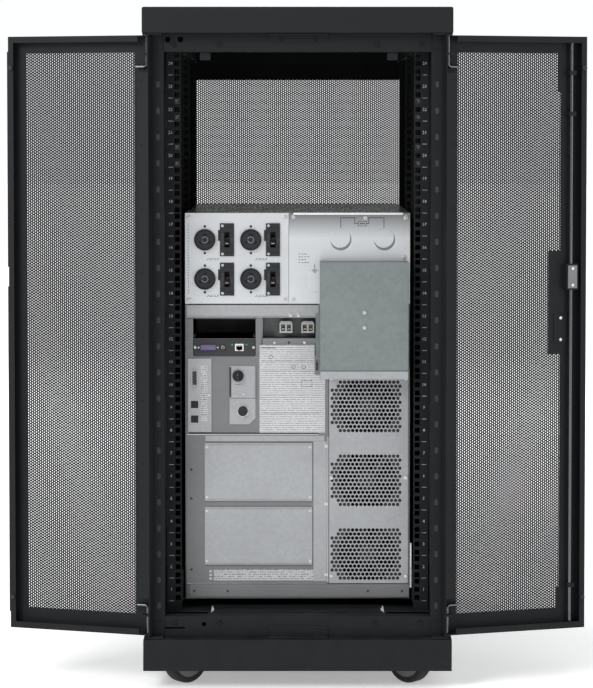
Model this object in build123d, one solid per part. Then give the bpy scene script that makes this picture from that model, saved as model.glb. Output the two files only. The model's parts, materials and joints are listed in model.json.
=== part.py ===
from build123d import *

import os
from math import cos, radians, sin

os.makedirs("parts", exist_ok=True)

# A rack enclosure on castors with split rear doors, a single front door and a modular UPS
# installed in its lower units, with a power distribution unit on top of the UPS.
# Millimetres. +X runs to the right as seen from the rear, +Y from the rear to the front, +Z up.
# The origin is on the floor, at the middle of the footprint.

# ---------------------------------------------------------------- enclosure, driving dimensions
cabinet_width = 590.0
cabinet_depth = 1070.0          # rear face to the outer face of the front door
front_handle_proud = 22.0       # front handle beyond the front door's face
sheet = 1.5                     # folded sheet of covers, doors and plinth

rack_units = 24
unit_pitch = 44.45              # EIA-310 rack unit
rail_opening = 450.0            # clear width between the rails
rail_hole_spacing = 465.1       # EIA-310 hole columns, centre to centre
square_hole = 9.5

plinth_height = 60.5
plinth_end_lip = 36.0           # plinth lip under the front and rear sills
plinth_side_lip = 27.0
sill_height = 39.5
first_unit_rise = 17.7          # sill top to the bottom of the first rack unit
header_height = 35.3
header_rise = 33.5              # top of the last rack unit to the top of the frame
header_hole_radius = 5.5        # a pair for a cable ring or an earth stud
header_hole_spacing = 24.0
cap_height = 49.0
cap_lip = 45.0

post_inset = 18.0               # side face to post
post_width = 22.0
post_depth = 50.0
frame_setback = 30.0            # rear and front faces to the frame
crossmember_depth = 30.0
top_beam_height = 32.0
base_beam_height = 25.0
base_beam_width = 104.5
panel_end_gap = 35.0            # rear and front faces to the side panels
panel_edge_gap = 0.5

rail_flange = 29.0
rail_return = 40.0
rail_gauge = 2.0
rear_rail_setback = 99.0        # from the rear face
mid_rail_setback = 506.0        # from the rear face
front_rail_setback = 227.0      # from the front face

floor_slot_margin = 4.5         # base beams to the ends of the cable slot
floor_slot_start = 70.0         # from the rear face
floor_slot_depth = 82.0

# ---------------------------------------------------------------- rear doors, driving dimensions
door_open_angle = 197.6         # from closed to folded back beside the cabinet
door_bottom_gap = 8.5           # plinth to door
door_top_gap = 5.0              # door to roof cap
hinge_inset = 9.0               # side face to hinge axis
hinge_setback = 12.0            # rear face to hinge axis
door_outside = 8.0              # hinge axis to the door's outer skin
door_inside = 14.0              # hinge axis to the door's inner return
door_heel = 8.0                 # hinge axis to the door's hinged edge
door_meeting_gap = 12.0         # between the two free edges
free_return = 10.7
hinge_return = 21.6
end_return = 12.0
left_window_start = 28.0        # hinge axis to the left perforated sheet
left_window_end_margin = 28.5
right_window_start = 21.6
right_window_end_margin = 45.2
window_bottom_margin = 37.6
window_top_margin = 31.8
astragal_width = 10.0
astragal_gauge = 1.5
astragal_end_margin = 28.0

pin_radius = 4.0
pin_clearance = 0.05
pin_length = 66.0
pin_arm = 22.0
pin_arm_radius = 3.0
pin_travel = 6.0
bracket_plate = 3.0
bracket_gap = 1.3               # door end to hinge bracket
pin_notch = 72.0                # return cut back around each pin

rod_radius = 4.0
rod_margin = 27.5               # free edge to the lock rods
rod_offset = 4.0                # hinge plane to the lock rods, inwards
rod_travel = 11.5
rod_end_margin = 4.0
latch_height = 787.0            # floor to the latch's centre
latch_body_height = 50.0
latch_body_width = 24.0
latch_bore_depth = 15.0
handle_length = 128.0
handle_width = 22.0
handle_thickness = 14.0
handle_shaft_radius = 5.0
handle_gap = 0.4

# ---------------------------------------------------------------- front door and castors
front_door_gap = 3.0            # frame to front door
front_window_margin = 60.0
front_window_top_margin = 65.0
front_handle_height = 720.0

castor_wheel_radius = 45.0
castor_wheel_width = 30.0
castor_trail = 25.0
castor_inset = 97.0             # side face to swivel axis
castor_setback = 90.0           # rear and front faces to the swivel axis
castor_angle = 50.0             # the rear castors stand swung to the side
castor_axle_radius = 5.0
kingpin_radius = 6.0
castor_plate = 50.0
castor_head = 21.0              # wheel top to the castor's top plate

# ---------------------------------------------------------------- UPS, driving dimensions
ups_width = 438.0
ups_units = 13
pdu_units = 4
ups_depth = 718.0               # rear face to the front rails
pdu_depth = 645.0
ups_sheet = 1.5
ear_width = 482.6               # EIA-310 panel width
fan_column_start = 61.7         # middle plane to the fan panel
bay_rows = 4
bay_floor_rise = 12.0
bay_pitch = 118.0
module_depth = 500.0
module_side_gap = 1.0
module_top_gap = 3.0
fan_size = 119.0
fan_thickness = 38.0
fan_pitch = 145.0
fan_bore_radius = 57.0
fan_tip_gap = 1.5
fan_hub_radius = 20.0
fan_blades = 7
socket_radius = 20.8
socket_proud = 8.0
breaker_width = 27.4
breaker_height = 64.0
breaker_proud = 5.5
wiring_cover_proud = 60.0
knob_radius = 11.0
knob_height = 16.0

# ---------------------------------------------------------------- worked-out places
half_width = cabinet_width / 2
rear_y = -(cabinet_depth + front_handle_proud) / 2
front_y = rear_y + cabinet_depth
castor_top = 2 * castor_wheel_radius + castor_head
base_beam_bottom = castor_top
sill_top = base_beam_bottom + base_beam_height
plinth_top = sill_top - sill_height
plinth_clearance = plinth_top - plinth_height      # floor to the plinth's lower edge
first_unit = sill_top + first_unit_rise
last_unit = first_unit + rack_units * unit_pitch
frame_top = last_unit + header_rise
header_bottom = frame_top - header_height
cabinet_height = frame_top + cap_height

post_outer = half_width - post_inset
post_inner = post_outer - post_width
rear_frame_y = rear_y + frame_setback
front_frame_y = front_y - frame_setback
rail_inner = rail_opening / 2
rail_outer = rail_inner + rail_flange
base_beam_inner = post_outer - base_beam_width
top_beam_bottom = frame_top - top_beam_height
rear_rail_y = rear_y + rear_rail_setback
mid_rail_y = rear_y + mid_rail_setback
front_rail_y = front_y - front_rail_setback

door_bottom = plinth_top + door_bottom_gap
door_top = frame_top - door_top_gap
hinge_x = half_width - hinge_inset
hinge_y = rear_y + hinge_setback
door_reach = hinge_x - door_meeting_gap / 2
bracket_top_z = door_top + bracket_gap
bracket_bottom_z = plinth_top + 1.0
rod_u = door_reach - rod_margin

ups_half = ups_width / 2
ups_rear_y = front_rail_y - ups_depth
ups_bottom = first_unit
ups_top = first_unit + ups_units * unit_pitch
pdu_top = ups_top + pdu_units * unit_pitch
panel_y = ups_rear_y - ups_sheet
castor_x = half_width - castor_inset


# ---------------------------------------------------------------- helpers
def block(x_low, x_high, y_low, y_high, z_low, z_high):
    """A box given by its six faces."""
    size = Box(x_high - x_low, y_high - y_low, z_high - z_low, align=(Align.MIN, Align.MIN, Align.MIN))
    return Pos(x_low, y_low, z_low) * size


def upright(x, y, radius, z_low, z_high):
    """A cylinder that stands along Z."""
    shape = Cylinder(radius, z_high - z_low, align=(Align.CENTER, Align.CENTER, Align.MIN))
    return Pos(x, y, z_low) * shape


def level_y(x, z, radius, y_low, y_high):
    """A cylinder that lies along Y."""
    shape = Cylinder(radius, y_high - y_low, align=(Align.CENTER, Align.CENTER, Align.MIN))
    return Pos(x, y_low, z) * Rot(-90, 0, 0) * shape


def level_x(y, z, radius, x_low, x_high):
    """A cylinder that lies along X."""
    shape = Cylinder(radius, x_high - x_low, align=(Align.CENTER, Align.CENTER, Align.MIN))
    return Pos(x_low, y, z) * Rot(0, 90, 0) * shape


def mirrored(shape):
    """The same shape on the other side of the middle plane."""
    return mirror(shape, about=Plane.YZ)


def both_sides(shape):
    """A right-hand shape and its mirror image."""
    return [shape, mirrored(shape)]


def save(node, shapes):
    """Writes one node, made of one shape or a list of separate ones."""
    if not isinstance(shapes, list):
        shapes = [shapes]
    solids = [solid for shape in shapes for solid in shape.solids()]
    export_step(Compound(label=node, children=solids), f"parts/{node}.step")


# ---------------------------------------------------------------- enclosure frame
def corner_posts():
    """Four square tubes from the plinth to the roof cap."""
    posts = []
    for y_low in (rear_frame_y, front_frame_y - post_depth):
        tube = block(post_inner, post_outer, y_low, y_low + post_depth, plinth_top, frame_top)
        tube -= block(post_inner + sheet, post_outer - sheet, y_low + sheet, y_low + post_depth - sheet,
                      plinth_top, frame_top)
        posts += both_sides(tube)
    return posts


def frame_beams():
    """Front header and sill, and the four beams that join the rear posts to the front ones."""
    beam_start = rear_frame_y + post_depth
    beam_end = front_frame_y - post_depth
    front_inner = front_frame_y - crossmember_depth
    header = block(-post_inner, post_inner, front_inner, front_frame_y, header_bottom, frame_top)
    sill = block(-post_inner, post_inner, front_inner, front_frame_y, plinth_top, sill_top)
    top = block(rail_inner, post_outer, beam_start, beam_end, top_beam_bottom, frame_top)
    top -= block(rail_inner + sheet, post_outer - sheet, beam_start, beam_end,
                 top_beam_bottom + sheet, frame_top - sheet)
    base = block(base_beam_inner, post_outer, beam_start, beam_end, base_beam_bottom, sill_top)
    base -= block(base_beam_inner + sheet, post_outer - sheet, beam_start, beam_end,
                  base_beam_bottom + sheet, sill_top - sheet)
    return [hollow_crossmember(header), hollow_crossmember(sill)] + both_sides(top) + both_sides(base)


def hollow_crossmember(bar):
    """Turns a bar along X into a tube with walls of one sheet."""
    box = bar.bounding_box()
    core = block(box.min.X, box.max.X, box.min.Y + sheet, box.max.Y - sheet,
                 box.min.Z + sheet, box.max.Z - sheet)
    return bar - core


def rear_header():
    """Top crossmember behind the rear doors, with two round access holes."""
    bar = block(-post_inner, post_inner, rear_frame_y, rear_frame_y + crossmember_depth,
                header_bottom, frame_top)
    bar = hollow_crossmember(bar)
    hole_z = frame_top - 12.0
    for x in (-post_inner + 8.0, -post_inner + 8.0 + header_hole_spacing):
        bar -= level_y(x, hole_z, header_hole_radius, rear_frame_y, rear_frame_y + sheet)
    for x in (-post_inner + 69.0, post_inner - 84.0):
        bar += block(x, x + 20.0, rear_frame_y + 8.0, rear_frame_y + 8.0 + sheet,
                     header_bottom - 16.0, header_bottom)
    return bar


def rear_sill():
    """Bottom crossmember behind the rear doors, with a cable tie slot and a round hole."""
    bar = block(-post_inner, post_inner, rear_frame_y, rear_frame_y + crossmember_depth,
                plinth_top, sill_top)
    bar = hollow_crossmember(bar)
    bar -= level_y(-post_inner + 75.0, sill_top - 15.0, 4.0, rear_frame_y, rear_frame_y + sheet)
    bar -= block(-post_inner, -post_inner + 38.0, rear_frame_y, rear_frame_y + sheet,
                 sill_top - 24.0, sill_top - 21.0)
    return bar


def roof_cap():
    """A folded roof tray with a lip that rests on the frame."""
    cap = block(-half_width, half_width, rear_y, front_y, frame_top, cabinet_height)
    cap = fillet(cap.edges().group_by(Axis.Z)[-1], 4.0)
    cap = fillet(cap.edges().filter_by(Axis.Z), 3.0)
    cap -= block(-half_width + sheet, half_width - sheet, rear_y + sheet, front_y - sheet,
                 frame_top + sheet, cabinet_height - sheet)
    cap -= block(-half_width + cap_lip, half_width - cap_lip, rear_y + cap_lip, front_y - cap_lip,
                 frame_top, frame_top + sheet)
    return cap


def plinth_skirt():
    """Four folded plates around the foot, each with a lip under the frame."""
    end_plate = block(-half_width, half_width, rear_y, rear_y + sheet, plinth_clearance, plinth_top)
    end_plate += block(-half_width, half_width, rear_y, rear_y + plinth_end_lip,
                       plinth_top - sheet, plinth_top)
    front_plate = block(-half_width, half_width, front_y - sheet, front_y, plinth_clearance, plinth_top)
    front_plate += block(-half_width, half_width, front_y - plinth_end_lip, front_y,
                         plinth_top - sheet, plinth_top)
    side_plate = block(half_width - sheet, half_width, rear_y + sheet, front_y - sheet,
                       plinth_clearance, plinth_top - sheet)
    side_plate += block(half_width - plinth_side_lip, half_width, rear_y + plinth_end_lip,
                        front_y - plinth_end_lip, plinth_top - sheet, plinth_top)
    return [end_plate, front_plate] + both_sides(side_plate)


def side_panels():
    """Two shallow pans whose folded edges meet the posts."""
    low = plinth_top + panel_edge_gap
    high = frame_top - panel_edge_gap
    start = rear_y + panel_end_gap
    end = front_y - panel_end_gap
    pan = block(post_outer, half_width, start, end, low, high)
    pan -= block(post_outer, half_width - sheet, start + sheet, end - sheet, low + sheet, high - sheet)
    return both_sides(pan)


def mounting_rail(flange_y, returns_to_front):
    """An L-section rail at the right, with three square holes in each rack unit."""
    if returns_to_front:
        flange = (flange_y, flange_y + rail_gauge)
        leg = (flange_y, flange_y + rail_return)
    else:
        flange = (flange_y - rail_gauge, flange_y)
        leg = (flange_y - rail_return, flange_y)
    rail = block(rail_inner, rail_outer, flange[0], flange[1], sill_top, top_beam_bottom)
    rail += block(rail_outer - rail_gauge, rail_outer, leg[0], leg[1], sill_top, top_beam_bottom)
    column_height = (rack_units - 1) * unit_pitch
    holes = None
    for row in (-1, 0, 1):
        centre = first_unit + unit_pitch / 2 + row * 15.875 + column_height / 2
        column = GridLocations(0, unit_pitch, 1, rack_units)
        plane = Plane(origin=(rail_hole_spacing / 2, flange[0], centre), x_dir=(1, 0, 0), z_dir=(0, -1, 0))
        sketch = plane * Sketch(children=[place * Rectangle(square_hole, square_hole) for place in column])
        cut = extrude(sketch, amount=-rail_gauge)
        holes = cut if holes is None else holes + cut
    return rail - holes


def mounting_rails():
    """Rear, middle and front pairs of 19-inch rails."""
    rails = both_sides(mounting_rail(rear_rail_y, True))
    rails += both_sides(mounting_rail(mid_rail_y, True))
    rails += both_sides(mounting_rail(front_rail_y, False))
    return rails


def floor_panel():
    """The sheet between the base beams, with a wide cable slot at the rear."""
    panel = block(-base_beam_inner, base_beam_inner, rear_frame_y + crossmember_depth,
                  front_frame_y - crossmember_depth, sill_top - sheet, sill_top)
    slot_y = rear_y + floor_slot_start
    slot_end = base_beam_inner - floor_slot_margin
    slot = block(-slot_end, slot_end, slot_y, slot_y + floor_slot_depth, sill_top - sheet, sill_top)
    return panel - fillet(slot.edges().filter_by(Axis.Z), 8.0)


def lock_strikes():
    """Angle plates on the header and sill that take the ends of the lock rods."""
    rod_x = hinge_x - rod_u
    rod_y = hinge_y + rod_offset
    strikes = []
    for plate_z, wall_low, wall_high in ((bracket_top_z, bracket_top_z - 14.0, bracket_top_z),
                                         (bracket_bottom_z, bracket_bottom_z + 2.5, bracket_bottom_z + 21.0)):
        plate = block(-55.0, 58.0, rear_y + 6.0, rear_frame_y, plate_z, plate_z + 2.5)
        plate += block(-55.0, 58.0, rear_frame_y - 2.0, rear_frame_y, wall_low, wall_high)
        for x in (rod_x, -rod_x):
            plate -= upright(x, rod_y, rod_radius + 1.5, plate_z, plate_z + 2.5)
        strikes.append(plate)
    return strikes


def support_rails():
    """Angles between the rear and front rails that carry the UPS."""
    start = rear_rail_y
    end = front_rail_y - rail_gauge
    rail = block(rail_inner - rail_gauge, rail_inner, start, end, ups_bottom - rail_gauge, ups_bottom + 60.0)
    rail += block(ups_half - 20.0, rail_inner, ups_rear_y, end, ups_bottom - rail_gauge, ups_bottom)
    return both_sides(rail)


def hinge_brackets():
    """Corner plates on the frame that take the hinge pins of the rear doors and the front door."""
    brackets = []
    hole = pin_radius + pin_clearance
    for z_low in (bracket_top_z, bracket_bottom_z):
        upper = z_low == bracket_top_z
        plate = block(post_inner + 2.0, hinge_x + door_heel, rear_y + 3.0, rear_frame_y,
                      z_low, z_low + bracket_plate)
        wall = (z_low - 26.0, z_low) if upper else (z_low + bracket_plate, z_low + 29.0)
        plate += block(post_inner + 2.0, post_outer, rear_frame_y - 2.0, rear_frame_y, wall[0], wall[1])
        if not upper:
            plate += upright(hinge_x, hinge_y, 7.0, z_low, door_bottom - 0.3)
        plate -= upright(hinge_x, hinge_y, hole, z_low, door_bottom if not upper else frame_top)
        brackets += both_sides(plate)
    return brackets


def front_hinge_brackets():
    """Two plates at the front left that carry the front door's fixed pins."""
    brackets = []
    axis_y = front_y - door_outside
    for z_low in (bracket_top_z, bracket_bottom_z):
        upper = z_low == bracket_top_z
        plate = block(-hinge_x - door_heel, -post_inner - 2.0, front_frame_y, front_y - 3.0,
                      z_low, z_low + bracket_plate)
        pin = (door_top - 14.0, z_low) if upper else (z_low + bracket_plate, door_bottom + 14.0)
        plate += upright(-hinge_x, axis_y, pin_radius, pin[0], pin[1])
        wall = (z_low - 26.0, z_low) if upper else (z_low + bracket_plate, z_low + 29.0)
        plate += block(-post_outer, -post_inner - 2.0, front_frame_y, front_frame_y + 1.5, wall[0], wall[1])
        brackets.append(plate)
    return brackets


# ---------------------------------------------------------------- rear doors
# A door is drawn closed, about its own hinge axis: U runs from the axis to the free edge along +X,
# V runs into the cabinet along +Y. The right door is the mirror image. Both are then folded back.
def door_pan(window_start, window_end, with_rods):
    """A folded door pan, with returns on all four edges and a window for the perforated sheet."""
    pan = block(-door_heel, door_reach, -door_outside, door_inside, door_bottom, door_top)
    pan -= block(-door_heel + sheet, door_reach - sheet, -door_outside + sheet, door_inside - sheet,
                 door_bottom + sheet, door_top - sheet)
    pan -= block(hinge_return - door_heel, door_reach - free_return, door_inside - sheet, door_inside,
                 door_bottom + end_return, door_top - end_return)
    pan -= block(window_start, window_end, -door_outside, -door_outside + sheet,
                 door_bottom + window_bottom_margin, door_top - window_top_margin)
    for low, high in ((door_bottom, door_bottom + pin_notch), (door_top - pin_notch, door_top)):
        pan -= block(-door_heel + sheet, hinge_return - door_heel, door_inside - sheet, door_inside,
                     low + sheet, high - sheet)
    for plate_z in (door_bottom + pin_notch / 2, door_top - pin_notch / 2):
        pan += block(-door_heel + sheet, 9.0, -door_outside + sheet, door_inside - sheet,
                     plate_z, plate_z + bracket_plate)
    pan -= upright(0, 0, pin_radius + pin_clearance, door_bottom, door_bottom + pin_notch)
    pan -= upright(0, 0, pin_radius + pin_clearance, door_top - pin_notch, door_top)
    if with_rods:
        pan -= level_y(rod_u, latch_height, handle_shaft_radius + pin_clearance,
                       -door_outside, -door_outside + sheet)
        for guide_z in rod_guide_heights():
            pan += block(rod_u - 7.0, rod_u + 7.0, -door_outside + sheet, rod_offset + 7.0,
                         guide_z - 4.0, guide_z + 4.0)
        pan -= upright(rod_u, rod_offset, rod_radius + pin_clearance, door_bottom, door_top)
    return pan


def rod_guide_heights():
    """Two guides on the upper rod and one on the lower rod."""
    return (door_top - 69.0, door_top - 148.0, door_bottom + 83.0)


def door_sheet(window_start, window_end):
    """The perforated sheet in a rear door's window."""
    return block(window_start, window_end, -door_outside, -door_outside + sheet,
                 door_bottom + window_bottom_margin, door_top - window_top_margin)


def fold_left(shape):
    """Folds a closed left-door shape back beside the cabinet."""
    return Pos(-hinge_x, hinge_y, 0) * Rot(0, 0, -door_open_angle) * shape


def fold_right(shape):
    """Mirrors a closed left-door shape to the right door and folds it back."""
    return Pos(hinge_x, hinge_y, 0) * Rot(0, 0, door_open_angle) * mirrored(shape)


def astragal():
    """An angle strip on the left door's free edge that covers the gap between the doors."""
    low = door_bottom + astragal_end_margin
    high = door_top - astragal_end_margin
    strip = block(door_reach, door_reach + astragal_width, -door_outside + 3.0,
                  -door_outside + 3.0 + astragal_gauge, low, high)
    strip += block(door_reach, door_reach + astragal_gauge, -door_outside + 3.0, door_inside - 3.0, low, high)
    middle = (low + high) / 2 + 90.0
    strip -= block(door_reach + astragal_width / 2, door_reach + astragal_width, -door_outside,
                   door_inside, middle, middle + 38.0)
    return strip


def hinge_pin(upper):
    """A sprung L-shaped pin: its end sits in the frame's bracket, its arm is the thumb pull."""
    if upper:
        end = bracket_top_z + bracket_plate - 0.3
        bend = end - pin_length
    else:
        end = bracket_bottom_z + 0.1
        bend = end + pin_length
    low, high = min(end, bend), max(end, bend)
    shaft = upright(0, 0, pin_radius, low, high)
    arm_z = bend + pin_arm_radius if upper else bend - pin_arm_radius
    arm = level_x(0, arm_z, pin_arm_radius, 0, pin_arm)
    return shaft + arm


def latch_body():
    """Gearbox behind the handle, the inner cover plate below it and the handle's outer base."""
    half = latch_body_height / 2
    skin = -door_outside + sheet
    box = block(rod_u - latch_body_width / 2, rod_u + latch_body_width / 2, skin, door_inside - 2.0,
                latch_height - half, latch_height + half)
    bore = rod_radius + pin_clearance
    box -= upright(rod_u, rod_offset, bore, latch_height + half - latch_bore_depth - 1.0, latch_height + half)
    box -= upright(rod_u, rod_offset, bore, latch_height - half, latch_height - half + latch_bore_depth + 1.0)
    box -= level_y(rod_u, latch_height, handle_shaft_radius + pin_clearance, skin, 6.5)
    plate = block(rod_u - 31.5, rod_u - 3.5, skin, skin + 2.0, latch_height - 129.0, latch_height - 73.0)
    base = block(rod_u - 13.0, rod_u + 13.0, -door_outside - 2.5, -door_outside,
                 latch_height - handle_length - 8.0, latch_height + 20.0)
    base -= level_y(rod_u, latch_height, handle_shaft_radius + pin_clearance,
                    -door_outside - 2.5, -door_outside)
    return [box, plate, base]


def door_handle():
    """Outer swing handle on a round shaft that turns the gearbox."""
    face = -door_outside - 2.5 - handle_gap
    lever = block(rod_u - handle_width / 2, rod_u + handle_width / 2, face - handle_thickness, face,
                  latch_height - handle_length, latch_height + handle_width / 2)
    lever = fillet(lever.edges().filter_by(Axis.Y), handle_width / 3)
    return lever + level_y(rod_u, latch_height, handle_shaft_radius, face, 6.0)


def lock_rod(upper):
    """A round bar from the gearbox to the door's end."""
    half = latch_body_height / 2
    if upper:
        low = latch_height + half - latch_bore_depth
        high = door_top - rod_end_margin - 3.0
    else:
        low = door_bottom + rod_end_margin
        high = latch_height - half + latch_bore_depth
    return upright(rod_u, rod_offset, rod_radius, low, high)


# ---------------------------------------------------------------- front door
front_door_back = frame_setback - front_door_gap
front_door_low = -hinge_x - door_heel
front_door_high = -front_door_low


def front_door():
    """A single pan door, closed against the front of the frame."""
    back = front_y - front_door_back
    pan = block(front_door_low, front_door_high, back, front_y, door_bottom, door_top)
    pan = fillet(pan.edges().filter_by(Axis.Z).group_by(Axis.Y)[-1], 5.0)
    pan -= block(front_door_low + sheet, front_door_high - sheet, back + sheet, front_y - sheet,
                 door_bottom + sheet, door_top - sheet)
    pan -= block(front_door_low + 2 * hinge_return, front_door_high - 2 * hinge_return, back, back + sheet,
                 door_bottom + 2 * end_return, door_top - 2 * end_return)
    pan -= block(-half_width + front_window_margin, half_width - front_window_margin, front_y - sheet,
                 front_y, door_bottom + front_window_margin, door_top - front_window_top_margin)
    axis_y = front_y - door_outside
    hole = pin_radius + pin_clearance
    pan -= upright(-hinge_x, axis_y, hole, door_bottom, door_bottom + sheet)
    pan -= upright(-hinge_x, axis_y, hole, door_top - sheet, door_top)
    handle_x = front_handle_x()
    pan += block(handle_x - 20.0, handle_x + 20.0, back + 4.0, front_y - sheet,
                 front_handle_height - 30.0, front_handle_height + 30.0)
    pan -= level_y(handle_x, front_handle_height, handle_shaft_radius + pin_clearance, back + 6.0, front_y)
    return pan


def front_handle_x():
    """The front handle's pivot, on the solid stile opposite the hinges."""
    return half_width - front_window_margin / 2 - 1.0


def front_door_sheet():
    """The perforated sheet in the front door's window."""
    return block(-half_width + front_window_margin, half_width - front_window_margin, front_y - sheet,
                 front_y, door_bottom + front_window_margin, door_top - front_window_top_margin)


def front_door_handle():
    """A swing handle that hangs down from its pivot on the front door."""
    handle_x = front_handle_x()
    face = front_y + handle_gap
    lever = block(handle_x - handle_width / 2, handle_x + handle_width / 2, face,
                  front_y + front_handle_proud, front_handle_height - handle_length,
                  front_handle_height + handle_width / 2)
    lever = fillet(lever.edges().filter_by(Axis.Y), handle_width / 3)
    shaft_end = front_y - front_door_back + 7.0
    return lever + level_y(handle_x, front_handle_height, handle_shaft_radius, shaft_end, face)


# ---------------------------------------------------------------- castors
def castor_fork_body(swivels):
    """Fork about a vertical axis at the origin; its wheel trails along -Y."""
    crown_bottom = 2 * castor_wheel_radius + 2.0
    leg_x = castor_wheel_width / 2 + 1.5
    fork = block(-leg_x - 3.0, leg_x + 3.0, -castor_trail - 15.0, 20.0, crown_bottom, crown_bottom + 4.0)
    for side in (-1, 1):
        inner, outer = sorted((side * leg_x, side * (leg_x + 3.0)))
        fork += block(inner, outer, -castor_trail - 12.0, -castor_trail + 16.0,
                      castor_wheel_radius - 12.0, crown_bottom)
    fork += level_x(-castor_trail, castor_wheel_radius, castor_axle_radius, -leg_x - 3.0, leg_x + 3.0)
    if swivels:
        fork += upright(0, 0, 22.0, crown_bottom, castor_top - 3.3)
        fork -= upright(0, 0, kingpin_radius + pin_clearance, crown_bottom, castor_top)
    else:
        fork += upright(0, 0, 22.0, crown_bottom, castor_top - 3.0)
        fork += block(-castor_plate / 2, castor_plate / 2, -castor_plate / 2, castor_plate / 2,
                      castor_top - 3.0, castor_top)
    return fork


def place_rear_castor(shape, side):
    """Puts a castor shape under a rear corner, swung outwards to its own side."""
    return Pos(side * castor_x, rear_y + castor_setback, 0) * Rot(0, 0, side * castor_angle) * shape


def place_front_castor(shape, side):
    """Puts a castor shape under a front corner, rolling fore and aft."""
    return Pos(side * castor_x, front_y - castor_setback, 0) * shape


def castor_mounts():
    """Rear top plates with their kingpins, and the two fixed front forks."""
    mounts = []
    for side in (-1, 1):
        plate = block(-castor_plate / 2, castor_plate / 2, -castor_plate / 2, castor_plate / 2,
                      castor_top - 3.0, castor_top)
        plate += upright(0, 0, kingpin_radius, 2 * castor_wheel_radius + 2.0, castor_top - 3.0)
        mounts.append(Pos(side * castor_x, rear_y + castor_setback, 0) * plate)
        mounts.append(place_front_castor(castor_fork_body(False), side))
    return mounts


def castor_wheel():
    """A wheel with rounded tread edges on its axle."""
    bore = castor_axle_radius + pin_clearance
    half = castor_wheel_width / 2
    wheel = level_x(-castor_trail, castor_wheel_radius, castor_wheel_radius, -half, half)
    wheel = fillet(wheel.edges(), 6.0)
    for low, high in ((-half, -half + 6.0), (half - 6.0, half)):
        wheel -= level_x(-castor_trail, castor_wheel_radius, 0.7 * castor_wheel_radius, low, high)
        wheel += level_x(-castor_trail, castor_wheel_radius, 12.0, low, high)
    return wheel - level_x(-castor_trail, castor_wheel_radius, bore, -half, half)


# ---------------------------------------------------------------- UPS frame
card_left = -203.5
card_right = -81.6
card_bottom = ups_top - 102.3
card_split = ups_top - 67.5
card_top = ups_top - 29.2
cavity_left = -68.0
cavity_right = 35.7
cavity_bottom = ups_top - 67.3
cavity_top = ups_top - 25.0
cavity_depth = 42.0
comms_left = -214.0
comms_right = -167.6
comms_bottom = ups_bottom + 327.6
comms_top = ups_bottom + 471.3
plates_left = -181.6
plates_right = 29.1
plate_height = 114.5
lower_plate_bottom = ups_bottom + 66.1
upper_plate_bottom = ups_bottom + 191.5
lip_bottom = ups_bottom + 4.6
lip_top = ups_bottom + 29.0
lip_proud = 7.0
fan_x = fan_column_start + 74.0
fan_middle_z = ups_bottom + 232.5
fan_panel_bottom = ups_bottom + 30.0
fan_panel_top = ups_bottom + 443.0


def fan_heights():
    """Centres of the three fans, from the lowest up."""
    return [fan_middle_z + row * fan_pitch for row in (-1, 0, 1)]


def shelf_height(row):
    """Upper face of a bay shelf, counted from the lowest."""
    return ups_bottom + bay_floor_rise + row * bay_pitch


def ups_chassis():
    """Galvanised case of separate sheets: walls, rear wall, divider, shelves, recess box, lip and front ears."""
    wall = ups_sheet
    inner = ups_half - wall
    sheets = both_sides(block(inner, ups_half, ups_rear_y, front_rail_y, ups_bottom, ups_top))
    for low in (ups_bottom, ups_top - wall):
        sheets.append(block(-inner, inner, ups_rear_y, front_rail_y, low, low + wall))
    module_start = front_rail_y - module_depth - 10.0
    below = ups_bottom + wall
    for row in range(bay_rows + 1):
        top = shelf_height(row)
        sheets.append(block(-inner, inner, module_start, front_rail_y, top - wall, top))
        sheets.append(block(-wall / 2, wall / 2, module_start, front_rail_y, below, top - wall))
        below = top
    sheets += ups_rear_wall(inner, wall)
    sheets += recess_box(wall)
    sheets.append(block(-ups_half + 8.0, ups_half - 1.2, ups_rear_y - lip_proud, ups_rear_y, lip_bottom, lip_top))
    sheets += both_sides(block(inner, ear_width / 2, front_rail_y, front_rail_y + rail_gauge,
                               ups_bottom + 0.5, ups_top - 0.5))
    return sheets


def ups_rear_wall(inner, wall):
    """The lower sheet with its covered cut-outs, and the strips that frame the card slots and the recess."""
    rear = (ups_rear_y, ups_rear_y + wall)
    base = card_bottom + 2.0
    high = ups_top - wall
    lower = block(-inner, inner, *rear, ups_bottom + wall, base)
    lower -= block(comms_left + 3.0, comms_right - 3.0, *rear, comms_bottom + 3.0, comms_top - 3.0)
    for low in (lower_plate_bottom, upper_plate_bottom):
        lower -= block(plates_left + 8.0, plates_right - 8.0, *rear, low + 8.0, low + plate_height - 8.0)
    for z in fan_heights():
        lower -= level_y(fan_x, z, fan_bore_radius, *rear)
    lower -= level_y(bypass_x, bypass_z, knob_shaft_radius + 1.0, *rear)
    return [
        lower,
        block(-inner, card_left, *rear, base, card_top),
        block(card_left, card_right, *rear, card_split - 2.0, card_split),
        block(card_right, cavity_left, *rear, base, card_top),
        block(-inner, cavity_left, *rear, card_top, high),
        block(cavity_left, cavity_right, *rear, base, cavity_bottom),
        block(cavity_left, cavity_right, *rear, cavity_top, high),
        block(cavity_right, inner, *rear, base, high),
    ]


def recess_box(wall):
    """Five sheets behind the rear wall that make the battery recess."""
    start = ups_rear_y + wall
    end = ups_rear_y + cavity_depth
    back = end - wall
    return [
        block(cavity_left - wall, cavity_left, start, end, cavity_bottom - wall, cavity_top + wall),
        block(cavity_right, cavity_right + wall, start, end, cavity_bottom - wall, cavity_top + wall),
        block(cavity_left, cavity_right, start, end, cavity_bottom - wall, cavity_bottom),
        block(cavity_left, cavity_right, start, end, cavity_top, cavity_top + wall),
        block(cavity_left, cavity_right, back, end, cavity_bottom, cavity_top),
    ]


def battery_modules():
    """Plug-in battery modules with pull handles, one to each shelf of the left column."""
    return [bay_module(row, -1) for row in range(bay_rows)]


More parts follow.
